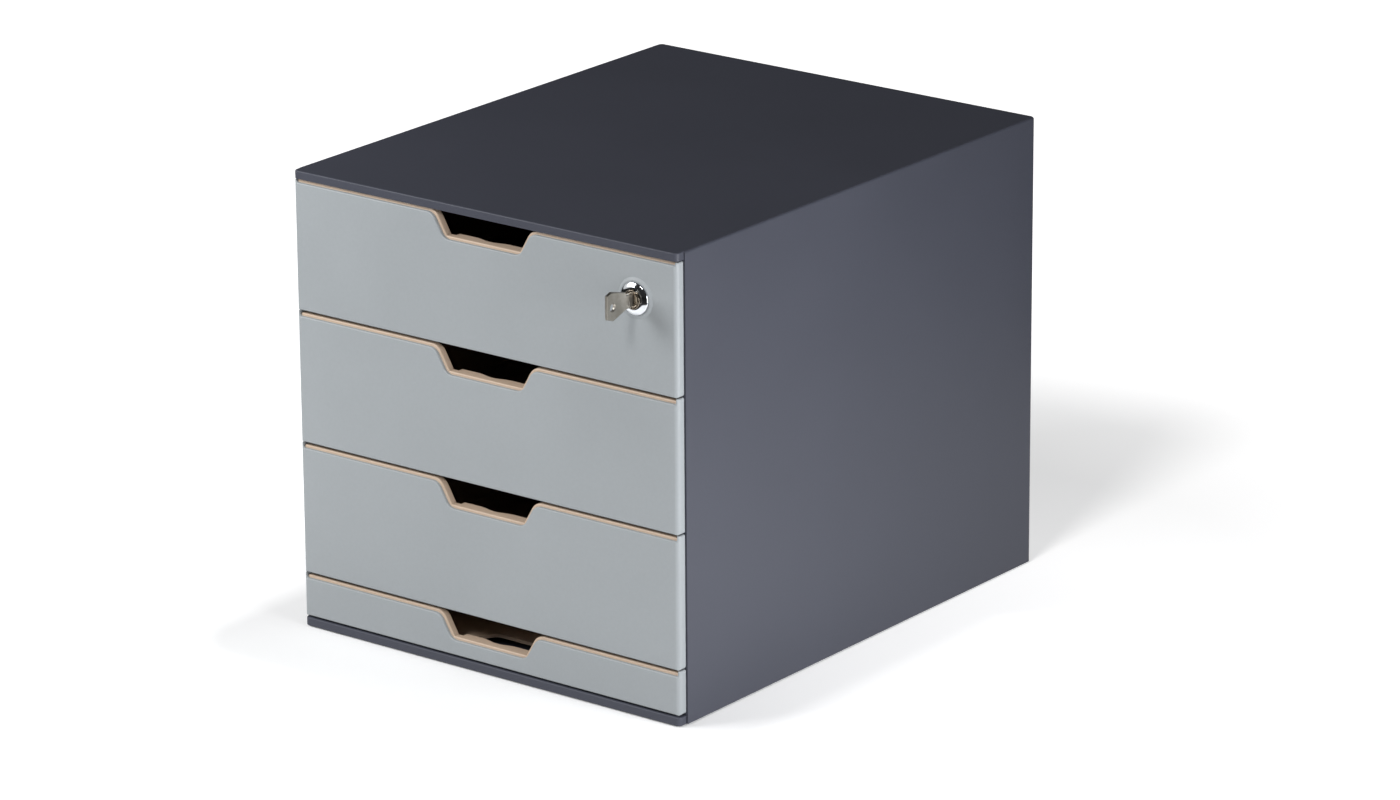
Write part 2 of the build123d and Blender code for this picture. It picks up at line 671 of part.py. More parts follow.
save(make_screws(
    [(x, -y) for x, y in base_screw_places],
    Plane(origin=(0, 0, FOOT_H + BASE_HEAD_DEPTH), x_dir=(1, 0, 0), z_dir=(0, 0, -1)),
    BASE_SCREW_L), "base_screws")
save(make_screws(
    [(-x, z) for x, z in back_screw_places],
    Plane(origin=(0, FRONT_Y + CASE_D - BACK_HEAD_DEPTH, 0), x_dir=(-1, 0, 0), z_dir=(0, 1, 0)),
    BACK_SCREW_L), "back_screws")

save(make_screws(
    [(x, -y) for x, y in catch_screw_places],
    Plane(origin=(0, 0, CATCH_TOP - CATCH_T), x_dir=(1, 0, 0), z_dir=(0, 0, -1)),
    CATCH_SCREW_L), "catch_screws")

# Drawers, counted from the top
for number, (low, height) in enumerate(FRONTS, start=1):
    with_lock = number == 1
    flat = number == len(FRONTS)
    gap_above = TOP_GAP if with_lock else FRONT_GAP
    save(make_front(low, height, gap_above - HORN_GAP, with_lock), "drawer_front_%d" % number)
    save(make_tray(low, height, with_lock, flat), "drawer_tray_%d" % number)
    save(make_screws(
        [(-x, z) for x, z in front_screw_places(low, height)],
        Plane(origin=(0, FRONT_Y + WALL_REAR, 0), x_dir=(-1, 0, 0), z_dir=(0, 1, 0)),
        FRONT_SCREW_L), "front_screws_%d" % number)

# Lock housing: chrome bezel and threaded barrel
with BuildPart() as lock_housing:
    with BuildSketch(upright(-COLLAR_H)):
        with Locations((LOCK_X, LOCK_Z)):
            Circle(BEZEL_R)
    extrude(amount=BEZEL_H)
    fillet(lock_housing.faces().sort_by(Axis.Y)[0].edges(), BEZEL_EDGE_R)
    with BuildSketch(upright(-COLLAR_H)):
        with Locations((LOCK_X, LOCK_Z)):
            Circle(BARREL_R)
    extrude(amount=-(BARREL_END + COLLAR_H))
    with BuildSketch(upright(BEZEL_FACE)):
        with Locations((LOCK_X, LOCK_Z)):
            Circle(PLUG_HEAD_R + PLUG_FIT)
    extrude(amount=-(PLUG_SEAT + PLUG_END_GAP - BEZEL_FACE), mode=Mode.SUBTRACT)
    with BuildSketch(upright(BEZEL_FACE)):
        with Locations((LOCK_X, LOCK_Z)):
            Circle(PLUG_R + PLUG_FIT)
    extrude(amount=-(BARREL_END - BEZEL_FACE), mode=Mode.SUBTRACT)
save(lock_housing.part, "lock_housing")

with BuildPart() as lock_nut:
    with BuildSketch(upright(WALL_REAR)):
        with Locations((LOCK_X, LOCK_Z)):
            RegularPolygon(NUT_AF / 2, 6, major_radius=False)
            Circle(BARREL_R, mode=Mode.SUBTRACT)
    extrude(amount=-NUT_T)
save(lock_nut.part, "lock_nut")

# Plug with a dished face, keyway, square tail and screw hole
with BuildPart() as lock_plug:
    with BuildSketch(upright(PLUG_FACE)):
        with Locations((LOCK_X, LOCK_Z)):
            Circle(PLUG_HEAD_R)
    extrude(amount=-PLUG_HEAD_L)
    with BuildSketch(upright(PLUG_SEAT)):
        with Locations((LOCK_X, LOCK_Z)):
            Circle(PLUG_R)
    extrude(amount=-(PLUG_END - PLUG_SEAT))
    with BuildSketch(upright(PLUG_END)):
        with Locations((LOCK_X, LOCK_Z)):
            Rectangle(TAIL_AF, TAIL_AF)
    extrude(amount=-CAM_T)
    with BuildSketch(upright(PLUG_FACE)):
        with Locations((LOCK_X, LOCK_Z)):
            Circle(PLUG_HEAD_R - PLUG_RIM)
    extrude(amount=-PLUG_DISH, mode=Mode.SUBTRACT)
    with BuildSketch(upright(PLUG_FACE)):
        with Locations((LOCK_X, LOCK_Z)):
            Rectangle(KEYWAY_W, KEYWAY_H)
    extrude(amount=-(KEYWAY_END - PLUG_FACE), mode=Mode.SUBTRACT)
    with BuildSketch(upright(CAM_END)):
        with Locations((LOCK_X, LOCK_Z)):
            Circle(CAM_SCREW_R)
    extrude(amount=CAM_SCREW_L, mode=Mode.SUBTRACT)
save(lock_plug.part, "lock_plug")

# Cam, lying towards the casing's middle while the lock is open
with BuildPart() as lock_cam:
    with BuildSketch(upright(PLUG_END)):
        with Locations((LOCK_X, LOCK_Z)):
            Circle(CAM_W / 2)
        with Locations((LOCK_X - (CAM_L - CAM_TIP_R) / 2, LOCK_Z)):
            Rectangle(CAM_L - CAM_TIP_R, CAM_W)
        with Locations((LOCK_X - CAM_L + CAM_TIP_R, LOCK_Z)):
            SlotCenterToCenter(CAM_W - 2 * CAM_TIP_R, 2 * CAM_TIP_R, rotation=90)
        with Locations((LOCK_X, LOCK_Z)):
            Rectangle(TAIL_AF, TAIL_AF, mode=Mode.SUBTRACT)
    extrude(amount=-CAM_T)
save(lock_cam.part, "lock_cam")

with BuildPart() as cam_screw:
    with BuildSketch(upright(CAM_END)):
        with Locations((LOCK_X, LOCK_Z)):
            Circle(CAM_HEAD_R)
    extrude(amount=-HEAD_H)
    fillet(cam_screw.faces().sort_by(Axis.Y)[-1].edges(), HEAD_EDGE_R)
    with BuildSketch(upright(CAM_END)):
        with Locations((LOCK_X, LOCK_Z)):
            Circle(CAM_SCREW_R)
    extrude(amount=CAM_SCREW_L)
save(cam_screw.part, "cam_screw")

# Key: bow outside, notched blade in the keyway
bow_front = FRONT_Y - KEY_OUT
with BuildPart() as key:
    with BuildSketch(Plane.YZ.offset(LOCK_X - KEY_T / 2)):
        with BuildLine():
            Polyline(
                (FRONT_Y + PLUG_FACE - RUN_CLEAR, LOCK_Z + NECK_H / 2),
                (FRONT_Y - NECK_OUT, LOCK_Z + NECK_H / 2),
                (FRONT_Y - NECK_OUT - BOW_SHOULDER, LOCK_Z + BOW_RISE_IN),
                (bow_front + BOW_CORNER_L, LOCK_Z + BOW_RISE_OUT),
                (bow_front, LOCK_Z + BOW_RISE_OUT - BOW_CORNER_H),
                (bow_front, LOCK_Z - BOW_FALL_OUT),
                (bow_front + BOW_FLAT, LOCK_Z - BOW_FALL_IN),
                (FRONT_Y - BOW_SLANT_END, LOCK_Z - NECK_H / 2),
                (FRONT_Y + PLUG_FACE - RUN_CLEAR, LOCK_Z - NECK_H / 2),
                close=True,
            )
        make_face()
        with Locations((bow_front + BOW_HOLE_IN, LOCK_Z)):
            Circle(BOW_HOLE_R, mode=Mode.SUBTRACT)
    extrude(amount=KEY_T)
    bow_faces = key.faces().filter_by(Axis.X)
    chamfer(bow_faces.edges(), BOW_EDGE)
    with BuildSketch(Plane.YZ.offset(LOCK_X - KEY_T / 2)):
        with Locations((FRONT_Y + (PLUG_FACE + BLADE_END - 2 * RUN_CLEAR) / 2, LOCK_Z)):
            Rectangle(BLADE_END - PLUG_FACE + 2 * RUN_CLEAR, BLADE_H)
        for step in range(BLADE_NOTCHES):
            notch_y = FRONT_Y + BLADE_NOTCH_START + step * BLADE_NOTCH_PITCH
            for side in (-1, 1):
                with Locations((notch_y, LOCK_Z + side * BLADE_H / 2)):
                    Circle(BLADE_NOTCH_R, mode=Mode.SUBTRACT)
    extrude(amount=KEY_T)
save(key.part, "key")
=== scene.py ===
# %% [markdown]
# A desktop drawer cabinet stands on a white table: a charcoal casing, four grey fronts on beige
# trays, and a small cylinder lock with its key. The solids come from a CAD model, which is loaded
# first and stays where it is. The large plastic mouldings keep their CAD shapes and get a finish.
# The small metal pieces are modelled again, because a lathe, a press and a thread roller leave
# rims, chamfers and ridges that the plain solids don't have.

# %% Load the frame
import json
from math import atan, cos, degrees, pi, radians, sin

import bmesh
import bpy
from mathutils import Matrix, Quaternion, Vector


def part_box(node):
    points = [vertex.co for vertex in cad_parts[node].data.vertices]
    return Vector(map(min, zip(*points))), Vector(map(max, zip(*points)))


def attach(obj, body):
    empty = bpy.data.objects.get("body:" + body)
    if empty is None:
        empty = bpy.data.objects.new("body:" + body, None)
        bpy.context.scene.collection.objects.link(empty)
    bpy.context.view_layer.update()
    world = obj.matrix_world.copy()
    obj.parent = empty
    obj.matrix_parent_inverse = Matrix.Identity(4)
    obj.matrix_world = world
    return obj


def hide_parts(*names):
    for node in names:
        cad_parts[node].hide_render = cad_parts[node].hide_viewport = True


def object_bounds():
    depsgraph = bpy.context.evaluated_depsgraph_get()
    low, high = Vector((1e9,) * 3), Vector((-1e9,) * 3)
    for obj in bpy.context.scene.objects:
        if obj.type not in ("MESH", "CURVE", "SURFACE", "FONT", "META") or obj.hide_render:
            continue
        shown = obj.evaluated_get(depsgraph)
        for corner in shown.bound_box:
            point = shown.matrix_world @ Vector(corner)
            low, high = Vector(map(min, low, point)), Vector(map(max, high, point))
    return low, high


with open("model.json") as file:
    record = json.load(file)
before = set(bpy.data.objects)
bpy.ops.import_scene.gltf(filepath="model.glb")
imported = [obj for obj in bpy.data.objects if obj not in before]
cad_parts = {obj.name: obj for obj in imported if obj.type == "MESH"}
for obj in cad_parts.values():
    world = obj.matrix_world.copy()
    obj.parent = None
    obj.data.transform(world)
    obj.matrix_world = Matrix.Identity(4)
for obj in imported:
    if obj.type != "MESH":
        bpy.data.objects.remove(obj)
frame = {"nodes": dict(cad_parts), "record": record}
nodes = frame["nodes"]
cad_low, cad_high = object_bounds()
MM = 0.001
print("CAD nodes:", len(nodes), "box in mm:", [round(v / MM, 1) for v in cad_high - cad_low])

# %% [markdown]
# The picture is taken from the front right, a little above the cabinet, from well back with a long
# lens, so that upright edges stay nearly parallel. A camera can be placed by its own coordinates,
# but an angle round the object, an aim point and a distance are easier to judge and to change.

# %% Camera
CAMERA_AZIMUTH = radians(37.616)
CAMERA_ELEVATION = radians(18.336)
CAMERA_ROLL = radians(-0.34)
CAMERA_DISTANCE = 3.832
CAMERA_AIM = Vector((0.0175, 0.0199, 0.1263))
CAMERA_LENS_MM = 162.86


def direction(azimuth, elevation):
    """Unit vector from the cabinet towards a place in the studio; azimuth 0 is the front."""
    return Vector((
        sin(azimuth) * cos(elevation),
        -cos(azimuth) * cos(elevation),
        sin(elevation),
    ))


towards_camera = direction(CAMERA_AZIMUTH, CAMERA_ELEVATION)
camera = bpy.data.objects.new("camera", bpy.data.cameras.new("camera"))
bpy.context.scene.collection.objects.link(camera)
camera.location = CAMERA_AIM + towards_camera * CAMERA_DISTANCE
camera.rotation_mode = "QUATERNION"
look = (-towards_camera).to_track_quat("-Z", "Y")
camera.rotation_quaternion = look @ Quaternion((0, 0, 1), CAMERA_ROLL)
camera.data.lens = CAMERA_LENS_MM
camera.data.clip_end = 50
bpy.context.scene.camera = camera
bpy.context.scene.view_settings.view_transform = "Standard"
print("camera at", [round(v, 3) for v in camera.location])

# %% [markdown]
# Shaders are networks of nodes, and sums are easier to read as sums. This class wraps one socket,
# so that 0.5 + noise * 0.1 adds the Math nodes by itself. Everything that isn't plain arithmetic
# goes through its node method: the node's type, its settings, then its sockets.


# %% A socket that does arithmetic
class Wire:
    """One output socket of a shader tree, or the tree alone while there is none yet."""

    def __init__(self, tree, socket=None):
        self.tree = tree
        self.socket = socket

    def node(self, kind, settings=None, sockets=None, out=0):
        """Adds a node, makes its settings, then fills its sockets by name or number."""
        new = self.tree.nodes.new(kind)
        for name, value in (settings or {}).items():
            setattr(new, name, value)
        for name, value in (sockets or {}).items():
            if isinstance(value, Wire):
                self.tree.links.new(value.socket, new.inputs[name])
            else:
                new.inputs[name].default_value = value
        return Wire(self.tree, new.outputs[out] if new.outputs else None)

    def math(self, operation, first, second=0.0):
        return self.node("ShaderNodeMath", {"operation": operation}, {0: first, 1: second})

    def __add__(self, other):
        return self.math("ADD", self, other)

    __radd__ = __add__

    def __sub__(self, other):
        return self.math("SUBTRACT", self, other)

    def __rsub__(self, other):
        return self.math("SUBTRACT", other, self)

    def __mul__(self, other):
        return self.math("MULTIPLY", self, other)

    def __truediv__(self, other):
        return self.math("DIVIDE", self, other)

    def ramp(self, start, end, low=0.0, high=1.0):
        """Runs from low to high while this value goes from start to end, and stops there."""
        sockets = {"Value": self, "From Min": start, "From Max": end, "To Min": low, "To Max": high}
        return self.node("ShaderNodeMapRange", {"clamp": True}, sockets)

    def blend(self, first, second):
        """Mixes two colours by this value."""
        sockets = {0: self, 6: first, 7: second}
        return self.node("ShaderNodeMix", {"data_type": "RGBA"}, sockets, out=2)

    def noise(self, scale, detail=2.0, distortion=0.0):
        """Cloudy noise at this place, with features of about 1 / scale metres."""
        sockets = {"Vector": self, "Scale": scale, "Detail": detail, "Distortion": distortion}
        return self.node("ShaderNodeTexNoise", {}, sockets)

    def vector(self, operation, other=(0, 0, 0), out=0):
        """Arithmetic on a place or a direction; out 1 is for answers that are one number."""
        return self.node("ShaderNodeVectorMath", {"operation": operation}, {0: self, 1: other}, out)

    def stretch(self, along, centre=(0, 0, 0)):
        """Place counted from a centre and scaled along X, Y and Z."""
        return self.vector("SUBTRACT", centre).vector("MULTIPLY", along)

    def length(self):
        """How far this place is from the centre that it was counted from."""
        return self.vector("LENGTH", out=1)


print("operators ready:", [name for name in vars(Wire) if not name.startswith("_")])

# %% [markdown]
# A colour on a part list is written in sRGB, as a painter reads it from a swatch, while shaders
# count in linear light. The curve between them is short enough to write out, and with it every
# finish below can be given as the swatch that was matched.


# %% Colours from swatches
def swatch(red, green, blue):
    """Linear colour of an sRGB swatch given from 0 to 255."""
    levels = [v / 255 for v in (red, green, blue)]
    linear = [v / 12.92 if v <= 0.04045 else ((v + 0.055) / 1.055) ** 2.4 for v in levels]
    return (*linear, 1.0)


def plain(level):
    """A neutral grey, given in linear light."""
    return (level, level, level, 1.0)


def lighter(colour, factor):
    """The same hue at another brightness."""
    return (*(v * factor for v in colour[:3]), 1.0)


def new_material(name):
    """An empty material and the place on the object that its patterns start from."""
    material = bpy.data.materials.new(name)
    material.use_nodes = True
    material.node_tree.nodes.clear()
    place = Wire(material.node_tree).node("ShaderNodeTexCoord", out=3)
    return material, place


def finish_surface(place, colour, roughness, bump_height, depth, **fixed):
    """Joins colour, roughness and relief in one surface shader, with its fixed values."""
    normal = place.node("ShaderNodeBump", {}, {
        "Height": bump_height, "Distance": depth, "Strength": 1.0,
    })
    sockets = {"Base Color": colour, "Roughness": roughness, "Normal": normal}
    sockets.update({name.replace("_", " "): value for name, value in fixed.items()})
    surface = place.node("ShaderNodeBsdfPrincipled", {}, sockets)
    place.node("ShaderNodeOutputMaterial", {}, {"Surface": surface})


BLACK = plain(0.0)
WHITE = plain(1.0)
print("charcoal swatch in linear light:", [round(v, 3) for v in swatch(71, 73, 83)])

# %% [markdown]
# The studio is a white floor under faint, even air. The floor has to look pure white around the
# cabinet and still hold a pale grey shadow. More light would do the first and burn the shadow away,
# so where the camera or a polished surface looks at it, some plain white is added to the white
# surface that takes the shadow. To all other light it is a greyer sheet, so that it doesn't throw
# more light up at the cabinet than a real table does. The added white is weakest beside the cabinet
# and grows with the distance from it, and more of it is needed behind than in front, where the
# lamps shine. In reflections the table ends where a real one would, and the floor beyond it is
# almost black. The air is white to a camera, and faint to everything it lights, because the lamps
# are meant to do the work. Reflections see a dim studio with one white panel on the left, which the
# lock's chrome ring shows clearly.

# %% Floor and air
FLOOR_HALF = 12.0
FLOOR_WHITE = 0.95
FLOOR_BOUNCE = 0.55
FLOOR_BEYOND = 0.055
GLOW_FRONT = 0.05
GLOW_BEHIND = 0.5
GLOW_FAR = 0.8
GLOW_TURNS_AT = (-0.2, 0.22)
GLOW_GROWS = (0.4, 1.3)
REACH_FRONT = 0.08
REACH_BEHIND = 0.36
REACH_TURNS_AT = (0.1, 0.25)
TABLE_END = 0.6
TABLE_FADE = 0.08
AIR_TINT = (0.97, 0.98, 1.0, 1.0)
AIR_FILL = 0.1
AIR_IN_GLOSS = 0.035
PANEL_AZIMUTH = radians(-60)
PANEL_ELEVATION = radians(12)
PANEL_HALF = radians(26)
PANEL_FADE = 0.05


def seen_directly(wire, in_reflections):
    """One where the camera or clear material looks at the surface, and a share in reflections."""
    camera_ray = wire.node("ShaderNodeLightPath", out="Is Camera Ray")
    clear_ray = wire.node("ShaderNodeLightPath", out="Is Transmission Ray")
    glossy_ray = wire.node("ShaderNodeLightPath", out="Is Glossy Ray")
    total = camera_ray + clear_ray + glossy_ray * in_reflections
    return total.ramp(0.0, 1.0)


def white_floor_finish():
    """White with plain white added for rays that look at it, and greyer for the rest."""
    material, place = new_material("studio_floor")
    half = (cad_high - cad_low) / 2
    beside = place.vector("SUBTRACT", tuple((cad_high + cad_low) / 2)).vector("ABSOLUTE")
    away = beside.vector("SUBTRACT", tuple(half)).vector("MAXIMUM").length()
    # Painted light: this glow is weakest beside the cabinet and grows with the distance from it, so
    # the cabinet's real shadow fades out into white further away.
    depth = place.node("ShaderNodeSeparateXYZ", out=1, sockets={0: place})
    reach = depth.ramp(*REACH_TURNS_AT, REACH_FRONT, REACH_BEHIND)
    near = depth.ramp(*GLOW_TURNS_AT, GLOW_FRONT, GLOW_BEHIND)
    strength = near + (away / reach).ramp(*GLOW_GROWS) * (GLOW_FAR - near)
    glow = place.node("ShaderNodeEmission", {}, {"Color": strength.blend(BLACK, WHITE)})
    white_sheet = place.node("ShaderNodeBsdfDiffuse", {}, {"Color": plain(FLOOR_WHITE)})
    looked_at = place.node("ShaderNodeAddShader", {}, {0: white_sheet, 1: glow})
    table = place.length().ramp(TABLE_END, TABLE_END + TABLE_FADE, 1.0, 0.0)
    off_table = place.node("ShaderNodeLightPath", out="Is Glossy Ray") * (1.0 - table)
    grey = off_table.blend(plain(FLOOR_BOUNCE), plain(FLOOR_BEYOND))
    grey_sheet = place.node("ShaderNodeBsdfDiffuse", {}, {"Color": grey})
    surface = place.node("ShaderNodeMixShader", {}, {
        0: seen_directly(place, table), 1: grey_sheet, 2: looked_at,
    })
    place.node("ShaderNodeOutputMaterial", {}, {"Surface": surface})
    return material


floor_mesh = bmesh.new()
bmesh.ops.create_grid(floor_mesh, x_segments=1, y_segments=1, size=FLOOR_HALF)
floor = bpy.data.objects.new("floor", bpy.data.meshes.new("floor"))
floor_mesh.to_mesh(floor.data)
floor_mesh.free()
floor.data.materials.append(white_floor_finish())
bpy.context.scene.collection.objects.link(floor)

air = bpy.data.worlds.new("studio_air")
bpy.context.scene.world = air
air.use_nodes = True
air.node_tree.nodes.clear()
air_wire = Wire(air.node_tree)
in_gloss = air_wire.node("ShaderNodeLightPath", out="Is Glossy Ray")
faint = air_wire.node("ShaderNodeBackground", {}, {
    "Color": in_gloss.blend(AIR_TINT, BLACK), "Strength": AIR_FILL,
})
white = air_wire.node("ShaderNodeBackground", {}, {"Color": WHITE, "Strength": 1.0})
looking = air_wire.node("ShaderNodeTexCoord", out="Generated")
at_panel = looking.vector(
    "DOT_PRODUCT", tuple(direction(PANEL_AZIMUTH, PANEL_ELEVATION)), out=1
)
panel_edge = cos(PANEL_HALF)
panel = at_panel.ramp(panel_edge, panel_edge + PANEL_FADE, AIR_IN_GLOSS, 1.0)
both = air_wire.node("ShaderNodeMixShader", {}, {
    0: seen_directly(air_wire, panel), 1: faint, 2: white,
})
air_wire.node("ShaderNodeOutputWorld", {}, {"Surface": both})
print("floor spans", 2 * FLOOR_HALF, "m, air fill", AIR_FILL)

# %% [markdown]
# The shadow in the picture lies behind the cabinet and shows on its right, with a soft edge, and
# the floor is equally white far away. So the main light is a distant one, in front and high, as
# wide as a studio window seen from the table. The fronts are brightest at their upper left and the
# side wall near the front, and light that fades across half a metre comes from close by. So a soft
# box stands at the left of the fronts, and a second one beside the right wall.

# %% Lamps
WINDOW_STRENGTH = 1.15
WINDOW_WIDTH = radians(14)
WINDOW_TINT = (1.0, 0.99, 0.98)
LEFT_WATTS = 5.9
LEFT_TINT = (0.98, 0.99, 1.0)
RIGHT_WATTS = 3.9
RIGHT_TINT = (0.97, 0.98, 1.0)


def place_lamp(name, lamp, azimuth, elevation, distance):
    """Puts a lamp in the studio, turned towards the middle of the cabinet."""
    towards = direction(radians(azimuth), radians(elevation))
    holder = bpy.data.objects.new(name, lamp)
    holder.location = (cad_low + cad_high) / 2 + towards * distance
    holder.rotation_mode = "QUATERNION"
    holder.rotation_quaternion = (-towards).to_track_quat("-Z", "Y")
    bpy.context.scene.collection.objects.link(holder)
    return holder


def soft_box(name, azimuth, elevation, distance, size, watts, tint):
    """A square area lamp of this size in metres."""
    lamp = bpy.data.lights.new(name, "AREA")
    lamp.shape = "SQUARE"
    lamp.size = size
    lamp.energy = watts
    lamp.color = tint
    return place_lamp(name, lamp, azimuth, elevation, distance)


window = bpy.data.lights.new("key_window", "SUN")
window.energy = WINDOW_STRENGTH
window.angle = WINDOW_WIDTH
window.color = WINDOW_TINT
key_lamp = place_lamp("key_window", window, 9, 42, 3.0)
left_lamp = soft_box("left_box", -35, 30, 1.0, 0.5, LEFT_WATTS, LEFT_TINT)
right_lamp = soft_box("right_box", 75, 5, 0.7, 0.4, RIGHT_WATTS, RIGHT_TINT)
print("lamps:", key_lamp.name, left_lamp.name, right_lamp.name)

# %% [markdown]
# The casing, the fronts and the trays are injection moulded. Each mould was eroded by sparks, which
# leaves a fine even grain of about a quarter of a millimetre, so the plastic is matte. Under it the
# plate is never quite flat, and its gloss drifts a little as the melt cooled. The grain could be a
# picture, but noise at the true size fits every piece without a seam, so it is noise three times:
# grain, a slow swell, and clouds that shift colour and gloss by a few hundredths.

# %% Moulded plastics
GRAIN_PER_M = 3600.0
SWELL_PER_M = 22.0
CLOUDS_PER_M = 9.0
SPECKS_PER_M = GRAIN_PER_M / 7
SWELL_HEIGHT = 12.0
PLASTIC_RELIEF = 0.01 * MM
PLASTIC_IOR = 1.5


def moulded_plastic(name, colour, gloss_loss, grain_depth, reflectance):
    """Matte moulded plastic: its swatch, mean roughness, grain depth and specular level."""
    material, place = new_material(name)
    grain = place.noise(GRAIN_PER_M, 3.0)
    swell = place.noise(SWELL_PER_M, 1.0)
    clouds = place.noise(CLOUDS_PER_M, 4.0, 0.4)
    specks = place.noise(SPECKS_PER_M, 2.0)
    tone = (clouds * 0.7 + specks * 0.3).ramp(0.3, 0.7)
    tint = tone.blend(lighter(colour, 0.95), lighter(colour, 1.05))
    roughness = gloss_loss + (clouds - 0.5) * 0.08 + (grain - 0.5) * 0.1
    relief = grain * grain_depth + swell * SWELL_HEIGHT
    finish_surface(
        place, tint, roughness, relief, PLASTIC_RELIEF,
        Specular_IOR_Level=reflectance, IOR=PLASTIC_IOR,
    )
    print(name, "mean roughness", gloss_loss)
    return material


casing_plastic = moulded_plastic("casing_plastic_finish", swatch(71, 73, 83), 0.44, 1.2, 0.25)
front_plastic = moulded_plastic("front_plastic_finish", swatch(158, 163, 166), 0.46, 0.8, 0.4)
tray_plastic = moulded_plastic("tray_plastic_finish", swatch(197, 175, 154), 0.42, 0.8, 0.45)

# %% [markdown]
# The feet are black rubber, cut from a sheet. It is duller than plastic and takes dust, so it gets
# a coarser bloom and almost no gloss.

# %% Rubber
BLOOM_PER_M = 260.0
PORES_PER_M = 2400.0
RUBBER_RELIEF = 0.01 * MM


def sheet_rubber(name):
    """Black rubber with a dusty bloom."""
    material, place = new_material(name)
    bloom = place.noise(BLOOM_PER_M, 5.0)
    pores = place.noise(PORES_PER_M, 2.0)
    tint = bloom.ramp(0.35, 0.75).blend(swatch(22, 22, 23), swatch(44, 44, 45))
    roughness = 0.82 + (bloom - 0.5) * 0.12
    finish_surface(place, tint, roughness, pores * 5.0, RUBBER_RELIEF, Specular_IOR_Level=0.25)
    print(name, "done")
    return material


foot_rubber = sheet_rubber("foot_rubber_finish")

# %% [markdown]
# Screws, nut, cam and catch are steel with a thin zinc coat. Zinc dries in small crystals, which
# differ slightly in colour and gloss, and stamped sheet keeps the fine lines of its rolling. Both
# are noise on the object's own coordinates: even for the crystals, and stretched along one
# direction for the lines, because stretched noise looks like fine scratches.

# %% Zinc-coated steel
CRYSTALS_PER_M = 900.0
FILM_PER_M = 120.0
ZINC_RELIEF = 0.004 * MM
ZINC_GLINT = (1.08, 1.07, 1.03)


def zinc_steel(name, colour, grain_along, gloss_loss):
    """Plated steel with crystals and rolling lines along one direction."""
    material, place = new_material(name)
    crystals = place.noise(CRYSTALS_PER_M, 3.0, 0.6)
    lines = place.stretch(grain_along).noise(1.0, 3.0)
    film = place.noise(FILM_PER_M, 2.0)
    tint = (crystals * 0.6 + film * 0.4).ramp(0.35, 0.65).blend(
        lighter(colour, 0.88), (*(v * factor for v, factor in zip(colour, ZINC_GLINT)), 1.0)
    )
    roughness = gloss_loss + (crystals - 0.5) * 0.14 + (lines - 0.5) * 0.12
    finish_surface(place, tint, roughness, lines * 1.4 + crystals, ZINC_RELIEF, Metallic=1.0)
    print(name, "mean roughness", gloss_loss)
    return material


screw_steel = zinc_steel("screw_steel_finish", swatch(176, 178, 182), (2600, 2600, 2600), 0.34)
catch_steel = zinc_steel("catch_steel_finish", swatch(184, 186, 188), (600, 6000, 6000), 0.36)
nut_steel = zinc_steel("nut_steel_finish", swatch(172, 175, 180), (5000, 700, 5000), 0.38)

# %% [markdown]
# The lock's bezel is polished and chromed, so it is almost a mirror and shows the studio more than
# itself. A perfect mirror looks computed. Real chrome has a faint haze where fingers rub it, and
# polishing leaves a slight ripple, so the haze moves the roughness and the ripple bends it a touch.

# %% Polished chrome
HAZE_PER_M = 420.0
RIPPLE_PER_M = 650.0
CHROME_RELIEF = 0.012 * MM


def polished_chrome(name):
    """Mirror finish with finger haze and polishing ripple."""
    material, place = new_material(name)
    haze = place.noise(HAZE_PER_M, 4.0, 0.5).ramp(0.35, 0.8)
    ripple = place.noise(RIPPLE_PER_M, 1.0)
    tint = haze.blend(swatch(200, 203, 206), swatch(186, 189, 194))
    roughness = 0.05 + haze * 0.09
    finish_surface(place, tint, roughness, ripple, CHROME_RELIEF, Metallic=1.0)
    print(name, "done")
    return material


lock_chrome = polished_chrome("lock_chrome_finish")

# %% [markdown]
# The plug is turned brass under nickel. The cutting tool leaves rings round the lock's axis, and a
# few years of keys wear the nickel thin, so the brown of the brass shines through. The rings are a
# sine of the distance from the axis. The distance could be sampled from a gradient texture, but the
# length of a flattened vector gives it exactly, wherever the lock sits.

# %% Turned nickel
lock_low, lock_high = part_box("lock_housing")
LOCK_AXIS = Vector(((lock_low.x + lock_high.x) / 2, 0.0, (lock_low.z + lock_high.z) / 2))
TURNING_PITCH = 0.22 * MM
WEAR_PER_M = 700.0
TURNED_RELIEF = 0.006 * MM


def turned_nickel(name):
    """Nickel over brass with turning rings round the lock's axis."""
    material, place = new_material(name)
    radius = place.stretch((1, 0, 1), tuple(LOCK_AXIS)).length()
    rings = place.math("SINE", radius * (2 * pi / TURNING_PITCH))
    wear = place.noise(WEAR_PER_M, 4.0, 0.5)
    tint = wear.ramp(0.4, 0.62).blend(swatch(158, 150, 139), swatch(128, 116, 101))
    roughness = 0.2 + (wear - 0.5) * 0.16 + rings * 0.02
    relief = rings * 0.2 + wear * 0.6
    finish_surface(place, tint, roughness, relief, TURNED_RELIEF, Metallic=1.0)
    print(name, "rings every", TURNING_PITCH / MM, "mm")
    return material


plug_nickel = turned_nickel("plug_nickel_finish")

# %% [markdown]
# Keys are stamped from nickel silver, a warm grey metal, and tumbled until their edges are smooth.
# Tumbling leaves short scratches in every direction, and a pocket adds more. Two stretched noises
# at right angles make them, and the rest is a satin sheen.

# %% Tumbled nickel silver
ACROSS_PER_M = 4000
ALONG_PER_M = 500
STAIN_PER_M = 180.0
TUMBLED_RELIEF = 0.005 * MM


